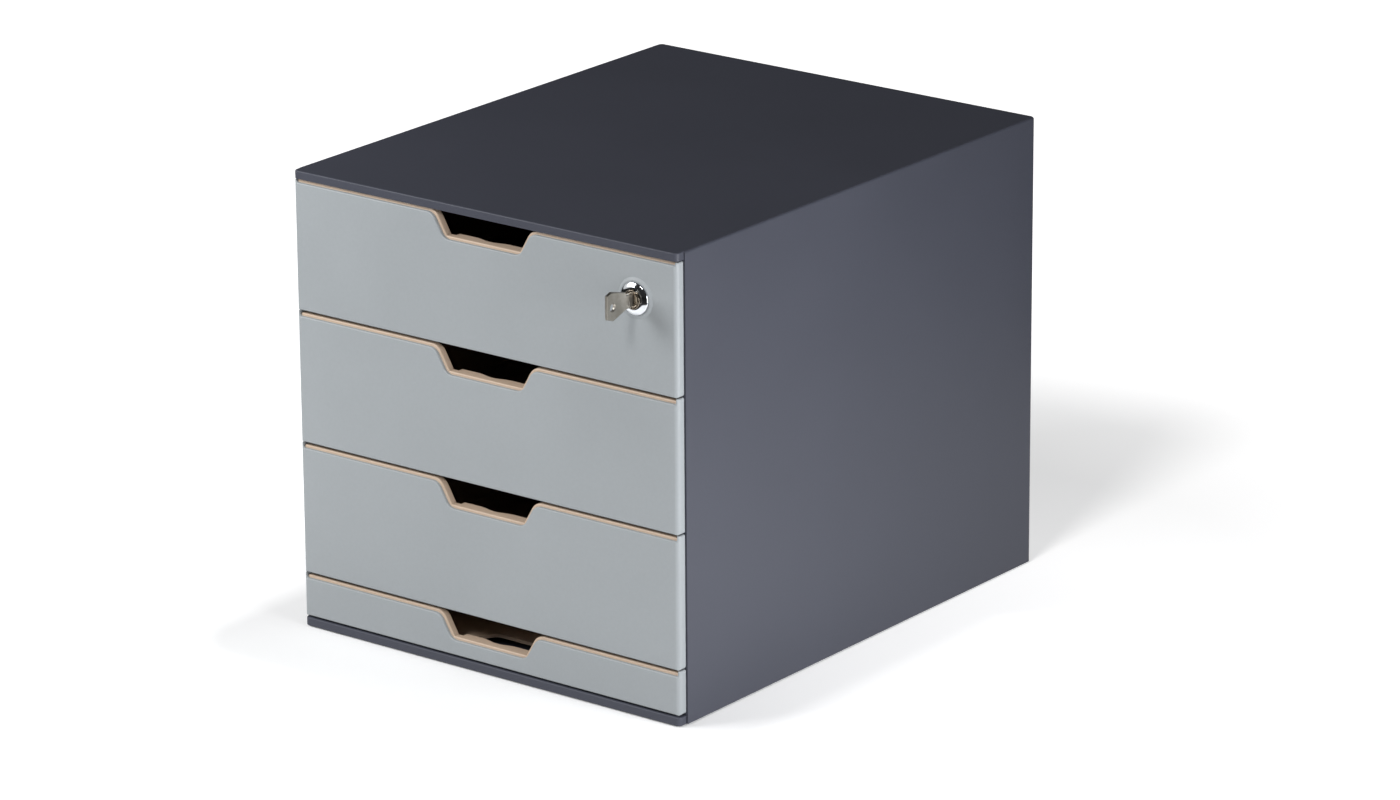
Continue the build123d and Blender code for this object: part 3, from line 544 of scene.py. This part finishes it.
def tumbled_nickel(name):
    """Satin key metal with crossing scratches."""
    material, place = new_material(name)
    upright = place.stretch((ACROSS_PER_M, ACROSS_PER_M, ALONG_PER_M)).noise(1.0, 2.0)
    level = place.stretch((ACROSS_PER_M, ALONG_PER_M, ACROSS_PER_M)).noise(1.0, 2.0)
    scratches = (upright + level) * 0.5
    stain = place.noise(STAIN_PER_M, 3.0)
    tint = stain.ramp(0.35, 0.7).blend(swatch(172, 167, 158), swatch(154, 149, 139))
    roughness = 0.38 + (scratches - 0.5) * 0.25 + (stain - 0.5) * 0.1
    finish_surface(place, tint, roughness, scratches * 1.5, TUMBLED_RELIEF, Metallic=1.0)
    print(name, "done")
    return material


key_nickel = tumbled_nickel("key_nickel_finish")

# %% [markdown]
# The mouldings keep their CAD meshes. A finish goes on through the object's material slots, which
# leaves the mesh alone, and the record names the slot of each node.

# %% Dress the CAD pieces
FINISHES = {
    "casing_plastic": casing_plastic,
    "front_plastic": front_plastic,
    "tray_plastic": tray_plastic,
    "foot_rubber": foot_rubber,
    "screw_steel": screw_steel,
    "catch_steel": catch_steel,
    "nut_steel": nut_steel,
    "lock_chrome": lock_chrome,
    "plug_nickel": plug_nickel,
    "key_nickel": key_nickel,
}
slot_of = {part["node"]: part["material_slot"] for part in frame["record"]["subparts"]}
body_of = {
    node: body
    for body, members in frame["record"]["behaviour"]["bodies"].items()
    for node in members
}
for node, cad_piece in nodes.items():
    for material_slot in cad_piece.material_slots:
        material_slot.material = FINISHES[slot_of[node]]
print("dressed", len(nodes), "CAD nodes in", len(FINISHES), "finishes")

# %% [markdown]
# Every new piece ends the same way: its doubles are merged, its faces are turned outwards, edges
# sharper than a bevel are kept crisp, and it takes over the finish, body and slot of the CAD node
# that it stands for. Holes and slots are cut with a Boolean modifier that is applied at once,
# because cutting by hand would mean rebuilding the faces round every hole.

# %% Helpers for new pieces
SHARP_FROM = radians(32)
MERGE_UNDER = 0.0005 * MM
TOUCH = 0.1 * MM


def close_mesh(bm):
    """Merges doubles, turns the faces outwards and marks the sharp edges."""
    bmesh.ops.remove_doubles(bm, verts=bm.verts, dist=MERGE_UNDER)
    bmesh.ops.recalc_face_normals(bm, faces=bm.faces)
    for face in bm.faces:
        face.smooth = True
    for edge in bm.edges:
        edge.smooth = edge.calc_face_angle(pi) < SHARP_FROM


def to_object(bm, name):
    """A plain object in the scene from a bmesh, which is freed."""
    close_mesh(bm)
    piece = bpy.data.objects.new(name, bpy.data.meshes.new(name))
    bm.to_mesh(piece.data)
    bm.free()
    bpy.context.scene.collection.objects.link(piece)
    return piece


def cut(piece, cutter, operation="DIFFERENCE"):
    """Cuts one object with another, keeps the result in its mesh and removes the cutter."""
    modifier = piece.modifiers.new("cut", "BOOLEAN")
    modifier.operation = operation
    modifier.solver = "EXACT"
    modifier.object = cutter
    bpy.context.view_layer.update()
    evaluated = piece.evaluated_get(bpy.context.evaluated_depsgraph_get())
    result = bpy.data.meshes.new_from_object(evaluated)
    piece.modifiers.clear()
    piece.data = result
    bpy.data.objects.remove(cutter)


def stand_for(piece, node):
    """Gives a new piece the finish, body and slot of the CAD node that it replaces."""
    bm = bmesh.new()
    bm.from_mesh(piece.data)
    close_mesh(bm)
    bm.to_mesh(piece.data)
    bm.free()
    piece.data.materials.clear()
    piece.data.materials.append(FINISHES[slot_of[node]])
    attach(piece, body_of[node])
    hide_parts(node)
    print(piece.name, "faces:", len(piece.data.polygons), "for", node)


print("edges over", round(degrees(SHARP_FROM)), "degrees stay sharp")

# %% [markdown]
# Bezel, barrel, plug, screw and foot are all turned parts: one outline, spun round an axis. The
# outline is a short list of radius and height pairs, and quarter circles fill in its round corners.
# The spin's own merge joins the last step to the first, so that no seam stays open.

# %% A small lathe
LATHE_STEPS = 96
ARC_STEPS = 6


def quarter_round(centre_r, centre_h, radius, start, end):
    """Points of an arc between two angles in degrees, from radius outwards to height."""
    angles = [radians(start + (end - start) * i / ARC_STEPS) for i in range(ARC_STEPS + 1)]
    return [(centre_r + radius * cos(a), centre_h + radius * sin(a)) for a in angles]


def turned(outline, steps=LATHE_STEPS):
    """Spins (radius, height) points round the Z axis."""
    bm = bmesh.new()
    verts = [bm.verts.new((r, 0, h)) for r, h in outline]
    edges = [bm.edges.new(pair) for pair in zip(verts, verts[1:])]
    bmesh.ops.spin(
        bm, geom=verts + edges, cent=(0, 0, 0), axis=(0, 0, 1), dvec=(0, 0, 0),
        angle=2 * pi, steps=steps, use_merge=True, use_duplicate=False,
    )
    bmesh.ops.remove_doubles(bm, verts=bm.verts, dist=MERGE_UNDER)
    return bm


def facing(towards, origin):
    """Matrix that turns the lathe's +Z towards a direction and moves it to an origin."""
    return Matrix.Translation(origin) @ towards.to_track_quat("Z", "Y").to_matrix().to_4x4()


FRONTWARDS = Vector((0, -1, 0))
BACKWARDS = Vector((0, 1, 0))
print("one full turn has", LATHE_STEPS, "steps")

# %% [markdown]
# The lock housing is one die-cast piece: a domed bezel that rests on the drawer's raised collar,
# and a threaded barrel that goes through the front and carries a nut. The real bezel falls away
# from the plug in one polished curve, ever steeper, to a tight outer edge. That curve is what makes
# its reflections bend, so it is a power curve here and no straight cone, and the edge's arc starts
# at the slope where the curve ends. The thread could be a helix, but rings at the same pitch look
# the same from any distance and close cleanly.

# %% Lock housing
BEZEL_H = 2.2 * MM
BEZEL_SHOULDER = 1.0 * MM
DOME_STEPS = 12
DOME_SLOPE = 0.65
DOME_POWER = 1.8
FACE_LIP = 0.3 * MM
BEZEL_CUT = 0.15 * MM
BARREL_R = 8.0 * MM
BARREL_CUT = 0.4 * MM
THREAD_START = 1.4 * MM
THREAD_PITCH = 1.0 * MM
THREAD_FLAT = 0.15 * MM
THREAD_DEPTH = 0.45 * MM
PLUG_GAP = 0.08 * MM
plug_low, plug_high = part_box("lock_plug")
PLUG_HEAD_R = (plug_high.x - plug_low.x) / 2
PLUG_BODY_R = 5.2 * MM
PLUG_HEAD_L = 2.8 * MM
SEAT_GAP = 0.4 * MM
bezel_r = (lock_high.x - lock_low.x) / 2
bezel_face = lock_low.y
barrel_l = lock_high.y - lock_low.y


def housing_outline():
    """Closed outline of bezel and barrel; height 0 is the bezel's face, towards the user."""
    rim = PLUG_HEAD_R + PLUG_GAP
    seat = -(plug_low.y + PLUG_HEAD_L + SEAT_GAP - bezel_face)
    points = [(rim, -FACE_LIP)]
    dome_start = rim + FACE_LIP
    edge = 90 - degrees(atan(DOME_SLOPE))
    dome_l = bezel_r - BEZEL_SHOULDER * (1 - cos(radians(edge))) - dome_start
    drop = DOME_SLOPE * dome_l / DOME_POWER
    for step in range(DOME_STEPS + 1):
        part = step / DOME_STEPS
        points.append((dome_start + part * dome_l, -drop * part ** DOME_POWER))
    edge_h = -drop - BEZEL_SHOULDER * sin(radians(edge))
    points += quarter_round(bezel_r - BEZEL_SHOULDER, edge_h, BEZEL_SHOULDER, edge, 0)[1:]
    points += [(bezel_r, -BEZEL_H + BEZEL_CUT), (bezel_r - BEZEL_CUT, -BEZEL_H)]
    points.append((BARREL_R, -BEZEL_H))
    height = -BEZEL_H - THREAD_START
    while height - THREAD_PITCH > -barrel_l + BARREL_CUT:
        points += [(BARREL_R, height), (BARREL_R, height - THREAD_FLAT)]
        points.append((BARREL_R - THREAD_DEPTH, height - THREAD_PITCH / 2))
        points.append((BARREL_R, height - THREAD_PITCH + THREAD_FLAT))
        height -= THREAD_PITCH
    points += [(BARREL_R, -barrel_l + BARREL_CUT), (BARREL_R - BARREL_CUT, -barrel_l)]
    points += [(PLUG_BODY_R + PLUG_GAP, -barrel_l), (PLUG_BODY_R + PLUG_GAP, seat), (rim, seat)]
    points.append((rim, -FACE_LIP))
    return points


housing_bm = turned(housing_outline())
housing_place = facing(FRONTWARDS, Vector((LOCK_AXIS.x, bezel_face, LOCK_AXIS.z)))
bmesh.ops.transform(housing_bm, matrix=housing_place, verts=housing_bm.verts)
stand_for(to_object(housing_bm, "lock_bezel_and_barrel"), "lock_housing")
print("bezel diameter", round(2 * bezel_r / MM, 1), "mm")

# %% [markdown]
# The plug turns in the barrel. Its face is dished, with a bright turned rim, two small stake marks
# and the keyway, and its tail ends in a square that drives the cam. The body is turned first, then
# the square is added and the keyway is cut right through the face, as a broach would do it.

# %% Plug
PLUG_RIM = 0.5 * MM
PLUG_DISH = 0.6 * MM
PLUG_EDGE = 0.2 * MM
PLUG_CUT = 0.3 * MM
# The face from its middle outwards, in mm inside the rim and above the dish: a ring, then the rim.
PLUG_FACE = ((1.6, 0.0), (1.5, 0.06), (1.2, 0.06), (1.1, 0.0), (0.35, 0.0), (0.1, 0.48), (0.0, 0.6))
TAIL_AF = 6.0 * MM
TAIL_L = 2.0 * MM
KEYWAY_W = 2.4 * MM
KEYWAY_H = 7.8 * MM
KEYWAY_DEPTH = 19.0 * MM
STAKE_R = 0.55 * MM
STAKE_DEPTH = 0.5 * MM
STAKES = ((3.0 * MM, -2.6 * MM), (-3.0 * MM, 2.6 * MM))


def box_mesh(size, centre):
    """A box to work on further."""
    bm = bmesh.new()
    bmesh.ops.create_cube(bm, size=1.0)
    bmesh.ops.transform(bm, matrix=Matrix.Diagonal((*size, 1.0)), verts=bm.verts)
    bmesh.ops.translate(bm, vec=centre, verts=bm.verts)
    return bm


def block(size, centre, name):
    """A box-shaped cutter or lug with its edges left sharp."""
    return to_object(box_mesh(size, centre), name)


def rod(radius, length, centre, towards, name, steps=24):
    """A round cutter along a direction."""
    bm = bmesh.new()
    bmesh.ops.create_cone(
        bm, cap_ends=True, segments=steps, radius1=radius, radius2=radius, depth=length
    )
    bmesh.ops.transform(bm, matrix=facing(towards, centre), verts=bm.verts)
    return to_object(bm, name)


def plug_outline():
    """Outline of the plug from its face back to the square tail."""
    end = -(plug_high.y - plug_low.y - TAIL_L)
    inner = PLUG_HEAD_R - PLUG_RIM
    points = [(0.0, -PLUG_DISH)]
    points += [(inner - inside * MM, -PLUG_DISH + above * MM) for inside, above in PLUG_FACE]
    points += quarter_round(PLUG_HEAD_R - PLUG_EDGE, -PLUG_EDGE, PLUG_EDGE, 90, 0)
    points += [(PLUG_HEAD_R, -PLUG_HEAD_L), (PLUG_BODY_R, -PLUG_HEAD_L)]
    points += [(PLUG_BODY_R, end + PLUG_CUT), (PLUG_BODY_R - PLUG_CUT, end), (0.0, end)]
    return points


plug_bm = turned(plug_outline())
plug_place = facing(FRONTWARDS, Vector((LOCK_AXIS.x, plug_low.y, LOCK_AXIS.z)))
bmesh.ops.transform(plug_bm, matrix=plug_place, verts=plug_bm.verts)
lock_plug = to_object(plug_bm, "lock_plug_turned")
tail_centre = Vector((LOCK_AXIS.x, plug_high.y - TAIL_L, LOCK_AXIS.z))
cut(lock_plug, block((TAIL_AF, 2 * TAIL_L, TAIL_AF), tail_centre, "tail"), "UNION")
keyway_centre = Vector((LOCK_AXIS.x, plug_low.y, LOCK_AXIS.z))
cut(lock_plug, block((KEYWAY_W, 2 * KEYWAY_DEPTH, KEYWAY_H), keyway_centre, "keyway"))
for stake_x, stake_z in STAKES:
    stake_place = LOCK_AXIS + Vector((stake_x, plug_low.y + PLUG_DISH, stake_z))
    cut(lock_plug, rod(STAKE_R, STAKE_DEPTH, stake_place, FRONTWARDS, "stake"))
stand_for(lock_plug, "lock_plug")

# %% [markdown]
# Behind the drawer's front wall a thin hexagon nut holds the barrel. Nuts are cut from bar and
# their corners are turned off at an angle, which gives each flat its curved upper edge. The same
# cut makes it here: a hexagon prism is intersected with a turned, chamfered disc.

# %% Lock nut
nut_low, nut_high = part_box("lock_nut")
NUT_AF = nut_high.z - nut_low.z
NUT_CHAMFER = 1.1 * MM
NUT_FALL = 0.6 * MM
NUT_CLEAR = 0.1 * MM
NUT_BORE_CUT = 0.4 * MM
nut_t = nut_high.y - nut_low.y
nut_corner_r = NUT_AF / 2 / cos(radians(30))
nut_bm = bmesh.new()
bmesh.ops.create_cone(
    nut_bm, cap_ends=True, segments=6, radius1=nut_corner_r, radius2=nut_corner_r, depth=nut_t
)
bmesh.ops.rotate(
    nut_bm, verts=nut_bm.verts, cent=(0, 0, 0), matrix=Matrix.Rotation(radians(30), 3, "Z")
)
nut_middle = Vector((LOCK_AXIS.x, (nut_low.y + nut_high.y) / 2, LOCK_AXIS.z))
bmesh.ops.transform(nut_bm, matrix=facing(BACKWARDS, nut_middle), verts=nut_bm.verts)
lock_nut = to_object(nut_bm, "lock_nut_hex")
chamfer_bm = turned([
    (BARREL_R, -nut_t / 2),
    (nut_corner_r + NUT_CHAMFER, -nut_t / 2),
    (nut_corner_r + NUT_CHAMFER, 0.0),
    (nut_corner_r + NUT_CLEAR, nut_t / 2 - NUT_FALL),
    (nut_corner_r - NUT_CHAMFER, nut_t / 2),
    (BARREL_R + NUT_BORE_CUT, nut_t / 2),
    (BARREL_R, nut_t / 2 - NUT_BORE_CUT),
    (BARREL_R, -nut_t / 2),
])
bmesh.ops.transform(chamfer_bm, matrix=facing(BACKWARDS, nut_middle), verts=chamfer_bm.verts)
cut(lock_nut, to_object(chamfer_bm, "nut_blank"), "INTERSECT")
stand_for(lock_nut, "lock_nut")

# %% [markdown]
# The key is stamped from 2 mm strip. Its bow is a lopsided hexagon with the rim chamfered and
# polished, and a round hole for the ring. The blade has a milled groove on each side and cuts in
# both edges. The outline is drawn flat as one face, extruded to the strip's thickness, and the rim
# is bevelled in one go, which gives the same even chamfer that tumbling leaves.

# %% Key
key_low, key_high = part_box("key")
KEY_T = key_high.x - key_low.x
KEY_RIM = 0.45 * MM
KEY_NECK = 4.2 * MM
KEY_STOP = 0.3 * MM
KEY_BLADE = 3.6 * MM
KEY_LAP = 1.0 * MM
KEY_TIP = 1.4 * MM
KEY_HOLE_R = 2.1 * MM
KEY_HOLE_IN = 5.0 * MM
KEY_CUTS = 3
KEY_CUT_R = 1.1 * MM
KEY_CUT_OUT = 0.3 * MM
KEY_CUT_PITCH = 3.0 * MM
KEY_CUT_START = 5.7 * MM
GROOVE_W = 1.5 * MM
GROOVE_DEPTH = 0.45 * MM
GROOVE_UP = 1.3 * MM
GROOVE_RUN = 4 * MM
SIDEWAYS = Vector((1, 0, 0))


def key_outline():
    """Corners of the bow and neck as (y, z) from the bow's outer end and the lock's axis."""
    top = key_high.z - LOCK_AXIS.z
    foot = LOCK_AXIS.z - key_low.z
    shoulder = plug_low.y - key_low.y - KEY_STOP
    return [
        (shoulder, KEY_NECK), (17.8 * MM, KEY_NECK), (16.7 * MM, 6.2 * MM), (4.2 * MM, top),
        (0.0, top - 1.5 * MM), (0.0, 2.0 * MM - foot), (5.9 * MM, -foot), (18.0 * MM, -KEY_NECK),
        (shoulder, -KEY_NECK),
    ]


def chamfer(bm, edges, width):
    """One flat face along each of these edges."""
    bmesh.ops.bevel(
        bm, geom=edges, offset=width, offset_type="OFFSET", affect="EDGES", segments=1,
        profile=0.5, material=-1,
    )


def stamped(corners, name):
    """A flat stamping of the key's thickness, with its rims bevelled."""
    bm = bmesh.new()
    verts = [bm.verts.new((key_low.x, key_low.y + y, LOCK_AXIS.z + z)) for y, z in corners]
    face = bm.faces.new(verts)
    lifted = bmesh.ops.extrude_face_region(bm, geom=[face])["geom"]
    lifted_verts = [item for item in lifted if isinstance(item, bmesh.types.BMVert)]
    bmesh.ops.translate(bm, verts=lifted_verts, vec=(KEY_T, 0, 0))
    bmesh.ops.recalc_face_normals(bm, faces=bm.faces)
    chamfer(bm, [e for e in bm.edges if abs(e.verts[0].co.x - e.verts[1].co.x) < TOUCH], KEY_RIM)
    return to_object(bm, name)


key = stamped(key_outline(), "key_stamped")
hole_centre = Vector((LOCK_AXIS.x, key_low.y + KEY_HOLE_IN, LOCK_AXIS.z))
hole_bm = turned([
    (0.0, -KEY_T), (KEY_HOLE_R + KEY_T / 2 + KEY_RIM, -KEY_T), (KEY_HOLE_R, -KEY_T / 2 + KEY_RIM),
    (KEY_HOLE_R, KEY_T / 2 - KEY_RIM), (KEY_HOLE_R + KEY_T / 2 + KEY_RIM, KEY_T), (0.0, KEY_T),
], steps=48)
bmesh.ops.transform(hole_bm, matrix=facing(SIDEWAYS, hole_centre), verts=hole_bm.verts)
cut(key, to_object(hole_bm, "ring_hole"))
blade_start = plug_low.y - KEY_LAP
blade_l = key_high.y - blade_start
blade_middle = Vector((LOCK_AXIS.x, blade_start + blade_l / 2, LOCK_AXIS.z))
blade_bm = box_mesh((KEY_T, blade_l, 2 * KEY_BLADE), blade_middle)
tip_edges = [
    edge for edge in blade_bm.edges
    if min(v.co.y for v in edge.verts) > key_high.y - TOUCH
    and abs(edge.verts[0].co.z - edge.verts[1].co.z) < TOUCH
]
chamfer(blade_bm, tip_edges, KEY_TIP)
cut(key, to_object(blade_bm, "key_blade"), "UNION")
for side in (-1, 1):
    for step in range(KEY_CUTS):
        notch = Vector((
            LOCK_AXIS.x,
            plug_low.y + KEY_CUT_START + step * KEY_CUT_PITCH,
            LOCK_AXIS.z + side * (KEY_BLADE + KEY_CUT_OUT),
        ))
        cut(key, rod(KEY_CUT_R, 3 * KEY_T, notch, SIDEWAYS, "key_cut", 6))
    groove = blade_middle + Vector((side * KEY_T / 2, GROOVE_RUN, side * GROOVE_UP))
    cut(key, block((2 * GROOVE_DEPTH, blade_l + GROOVE_RUN, GROOVE_W), groove, "groove"))
stand_for(key, "key")

# %% [markdown]
# All screws are of one kind: a pan head with a cross recess, and a rolled thread. One outline makes
# them, with the shank's length read from the CAD. The recess is what tells a screw from a rivet, so
# it is cut for real: two crossed wings that narrow towards the bottom, as the driver's tip does.

# %% One screw
HEAD_H = 1.6 * MM
HEAD_ROUND = 0.7 * MM
HEAD_FLAT = 0.45
HEAD_FALL = 0.03 * MM
HEAD_CUT = 0.1 * MM
SHANK_R = 1.45 * MM
CAM_SHANK_R = 1.5 * MM
TIP_CUT = 0.4 * MM
ROLL_START = 0.3 * MM
ROLL_END = 0.5 * MM
ROLL_PITCH = 0.9 * MM
ROLL_DEPTH = 0.3 * MM
RECESS_DEPTH = 1.1 * MM
RECESS_W = 0.62 * MM
RECESS_SPAN = 1.15
RECESS_TAPER = (0.35, 0.7, 1.0)
RECESS_TURN = radians(20)
TURN_EACH = radians(37)
SCREW_STEPS = 32


def screw_outline(head_r, shank_r, length):
    """Outline from the head's top at height 0 down to the tip."""
    points = [(0.0, 0.0), (head_r * HEAD_FLAT, -HEAD_FALL)]
    points += quarter_round(head_r - HEAD_ROUND, -HEAD_ROUND - 2 * HEAD_FALL, HEAD_ROUND, 90, 0)
    points += [(head_r, -HEAD_H + HEAD_CUT), (head_r - HEAD_CUT, -HEAD_H), (shank_r, -HEAD_H)]
    height = -HEAD_H - ROLL_START
    while height - ROLL_PITCH > -length + ROLL_END:
        points += [(shank_r, height), (shank_r - ROLL_DEPTH, height - ROLL_PITCH / 2)]
        height -= ROLL_PITCH
    points += [(shank_r, height), (shank_r, -length + TIP_CUT)]
    points += [(shank_r - TIP_CUT, -length), (0.0, -length)]
    return points


def recess_wing(span, turn):
    """One tapered wing of the cross recess."""
    bm = box_mesh((span, RECESS_W, 2 * RECESS_DEPTH), Vector())
    bmesh.ops.scale(bm, vec=RECESS_TAPER, verts=[v for v in bm.verts if v.co.z < 0])
    bmesh.ops.rotate(bm, verts=bm.verts, cent=(0, 0, 0), matrix=Matrix.Rotation(turn, 3, "Z"))
    return to_object(bm, "recess_wing")


def screw_mesh(head_r, shank_r, length):
    """One finished screw that looks up, as a mesh to repeat."""
    one = to_object(turned(screw_outline(head_r, shank_r, length), SCREW_STEPS), "one_screw")
    for turn in (0.0, pi / 2):
        cut(one, recess_wing(head_r * RECESS_SPAN, turn + RECESS_TURN))
    mesh = one.data
    bpy.data.objects.remove(one)
    return mesh


print("recess depth", RECESS_DEPTH / MM, "mm in a head of", HEAD_H / MM, "mm")

# %% [markdown]
# A CAD node holds all the screws of one joint, as separate solids. Their places are read from the
# node itself: its loose pieces are walked from vertex to vertex, and the box of each gives the
# screw's axis, its head and its length. So no list of places is written here.

# %% Screws in their places
CAD_MERGE = 0.002 * MM
DOWNWARDS = Vector((0, 0, -1))


def loose_boxes(node):
    """Lowest and highest corner of each separate solid of a CAD node."""
    bm = bmesh.new()
    bm.from_mesh(nodes[node].data)
    bmesh.ops.remove_doubles(bm, verts=bm.verts, dist=CAD_MERGE)
    left = set(bm.verts)
    boxes = []
    while left:
        front = [left.pop()]
        island = list(front)
        while front:
            linked = {e.other_vert(v) for v in front for e in v.link_edges} & left
            left -= linked
            front = list(linked)
            island += front
        xs, ys, zs = zip(*(v.co for v in island))
        boxes.append((Vector((min(xs), min(ys), min(zs))), Vector((max(xs), max(ys), max(zs)))))
    bm.free()
    return sorted(boxes, key=lambda corners: tuple(round(v, 4) for v in corners[0]))


def fit_screws(name, node, towards, shank_r):
    """Puts a screw on every solid of a node, its head towards a direction."""
    boxes = loose_boxes(node)
    size = boxes[0][1] - boxes[0][0]
    length = abs(size.dot(towards))
    head_r = (size.x if abs(towards.x) < 0.5 else size.y) / 2
    pattern = screw_mesh(head_r, shank_r, length)
    bm = bmesh.new()
    for index, (low, high) in enumerate(boxes):
        middle = (low + high) / 2
        top = middle + towards * length / 2
        before = set(bm.verts)
        bm.from_mesh(pattern)
        added = [v for v in bm.verts if v not in before]
        spin = Matrix.Rotation(TURN_EACH * index, 4, "Z")
        bmesh.ops.transform(bm, matrix=facing(towards, top) @ spin, verts=added)
    stand_for(to_object(bm, name), node)


fit_screws("base_screws_rolled", "base_screws", DOWNWARDS, SHANK_R)
fit_screws("back_screws_rolled", "back_screws", BACKWARDS, SHANK_R)
fit_screws("catch_screws_rolled", "catch_screws", DOWNWARDS, SHANK_R)
fit_screws("cam_screw_rolled", "cam_screw", BACKWARDS, CAM_SHANK_R)
for node in sorted(node for node in nodes if node.startswith("front_screws")):
    fit_screws(node + "_rolled", node, BACKWARDS, SHANK_R)

# %% [markdown]
# The rubber feet sit in shallow pockets under the base. Each is a punched disc with a softened rim
# and a dimple in the middle, which lets it grip a table like a small suction pad.

# %% Feet
FOOT_RIM = 0.4 * MM
# The dimple: how far out as a share of the foot's radius, and how deep in mm.
FOOT_DIMPLE = ((0.0, 0.35), (0.42, 0.3), (0.5, 0.05), (0.56, 0.0))
foot_boxes = loose_boxes("feet")
foot_size = foot_boxes[0][1] - foot_boxes[0][0]
foot_r = foot_size.x / 2
foot_outline = [(foot_r * share, -depth * MM) for share, depth in FOOT_DIMPLE]
foot_outline.append((foot_r - FOOT_RIM, 0.0))
foot_outline += quarter_round(foot_r - FOOT_RIM, -FOOT_RIM, FOOT_RIM, 88, 0)
foot_outline += [(foot_r, -foot_size.z), (0.0, -foot_size.z)]
feet_bm = bmesh.new()
for low, high in foot_boxes:
    one_foot = turned(foot_outline, 64)
    sole = Vector(((low.x + high.x) / 2, (low.y + high.y) / 2, low.z))
    bmesh.ops.transform(one_foot, matrix=facing(DOWNWARDS, sole), verts=one_foot.verts)
    foot_mesh = bpy.data.meshes.new("one_foot")
    one_foot.to_mesh(foot_mesh)
    one_foot.free()
    feet_bm.from_mesh(foot_mesh)
stand_for(to_object(feet_bm, "feet_punched"), "feet")

# %% [markdown]
# The dressed cabinet has to keep inside the CAD model's box.
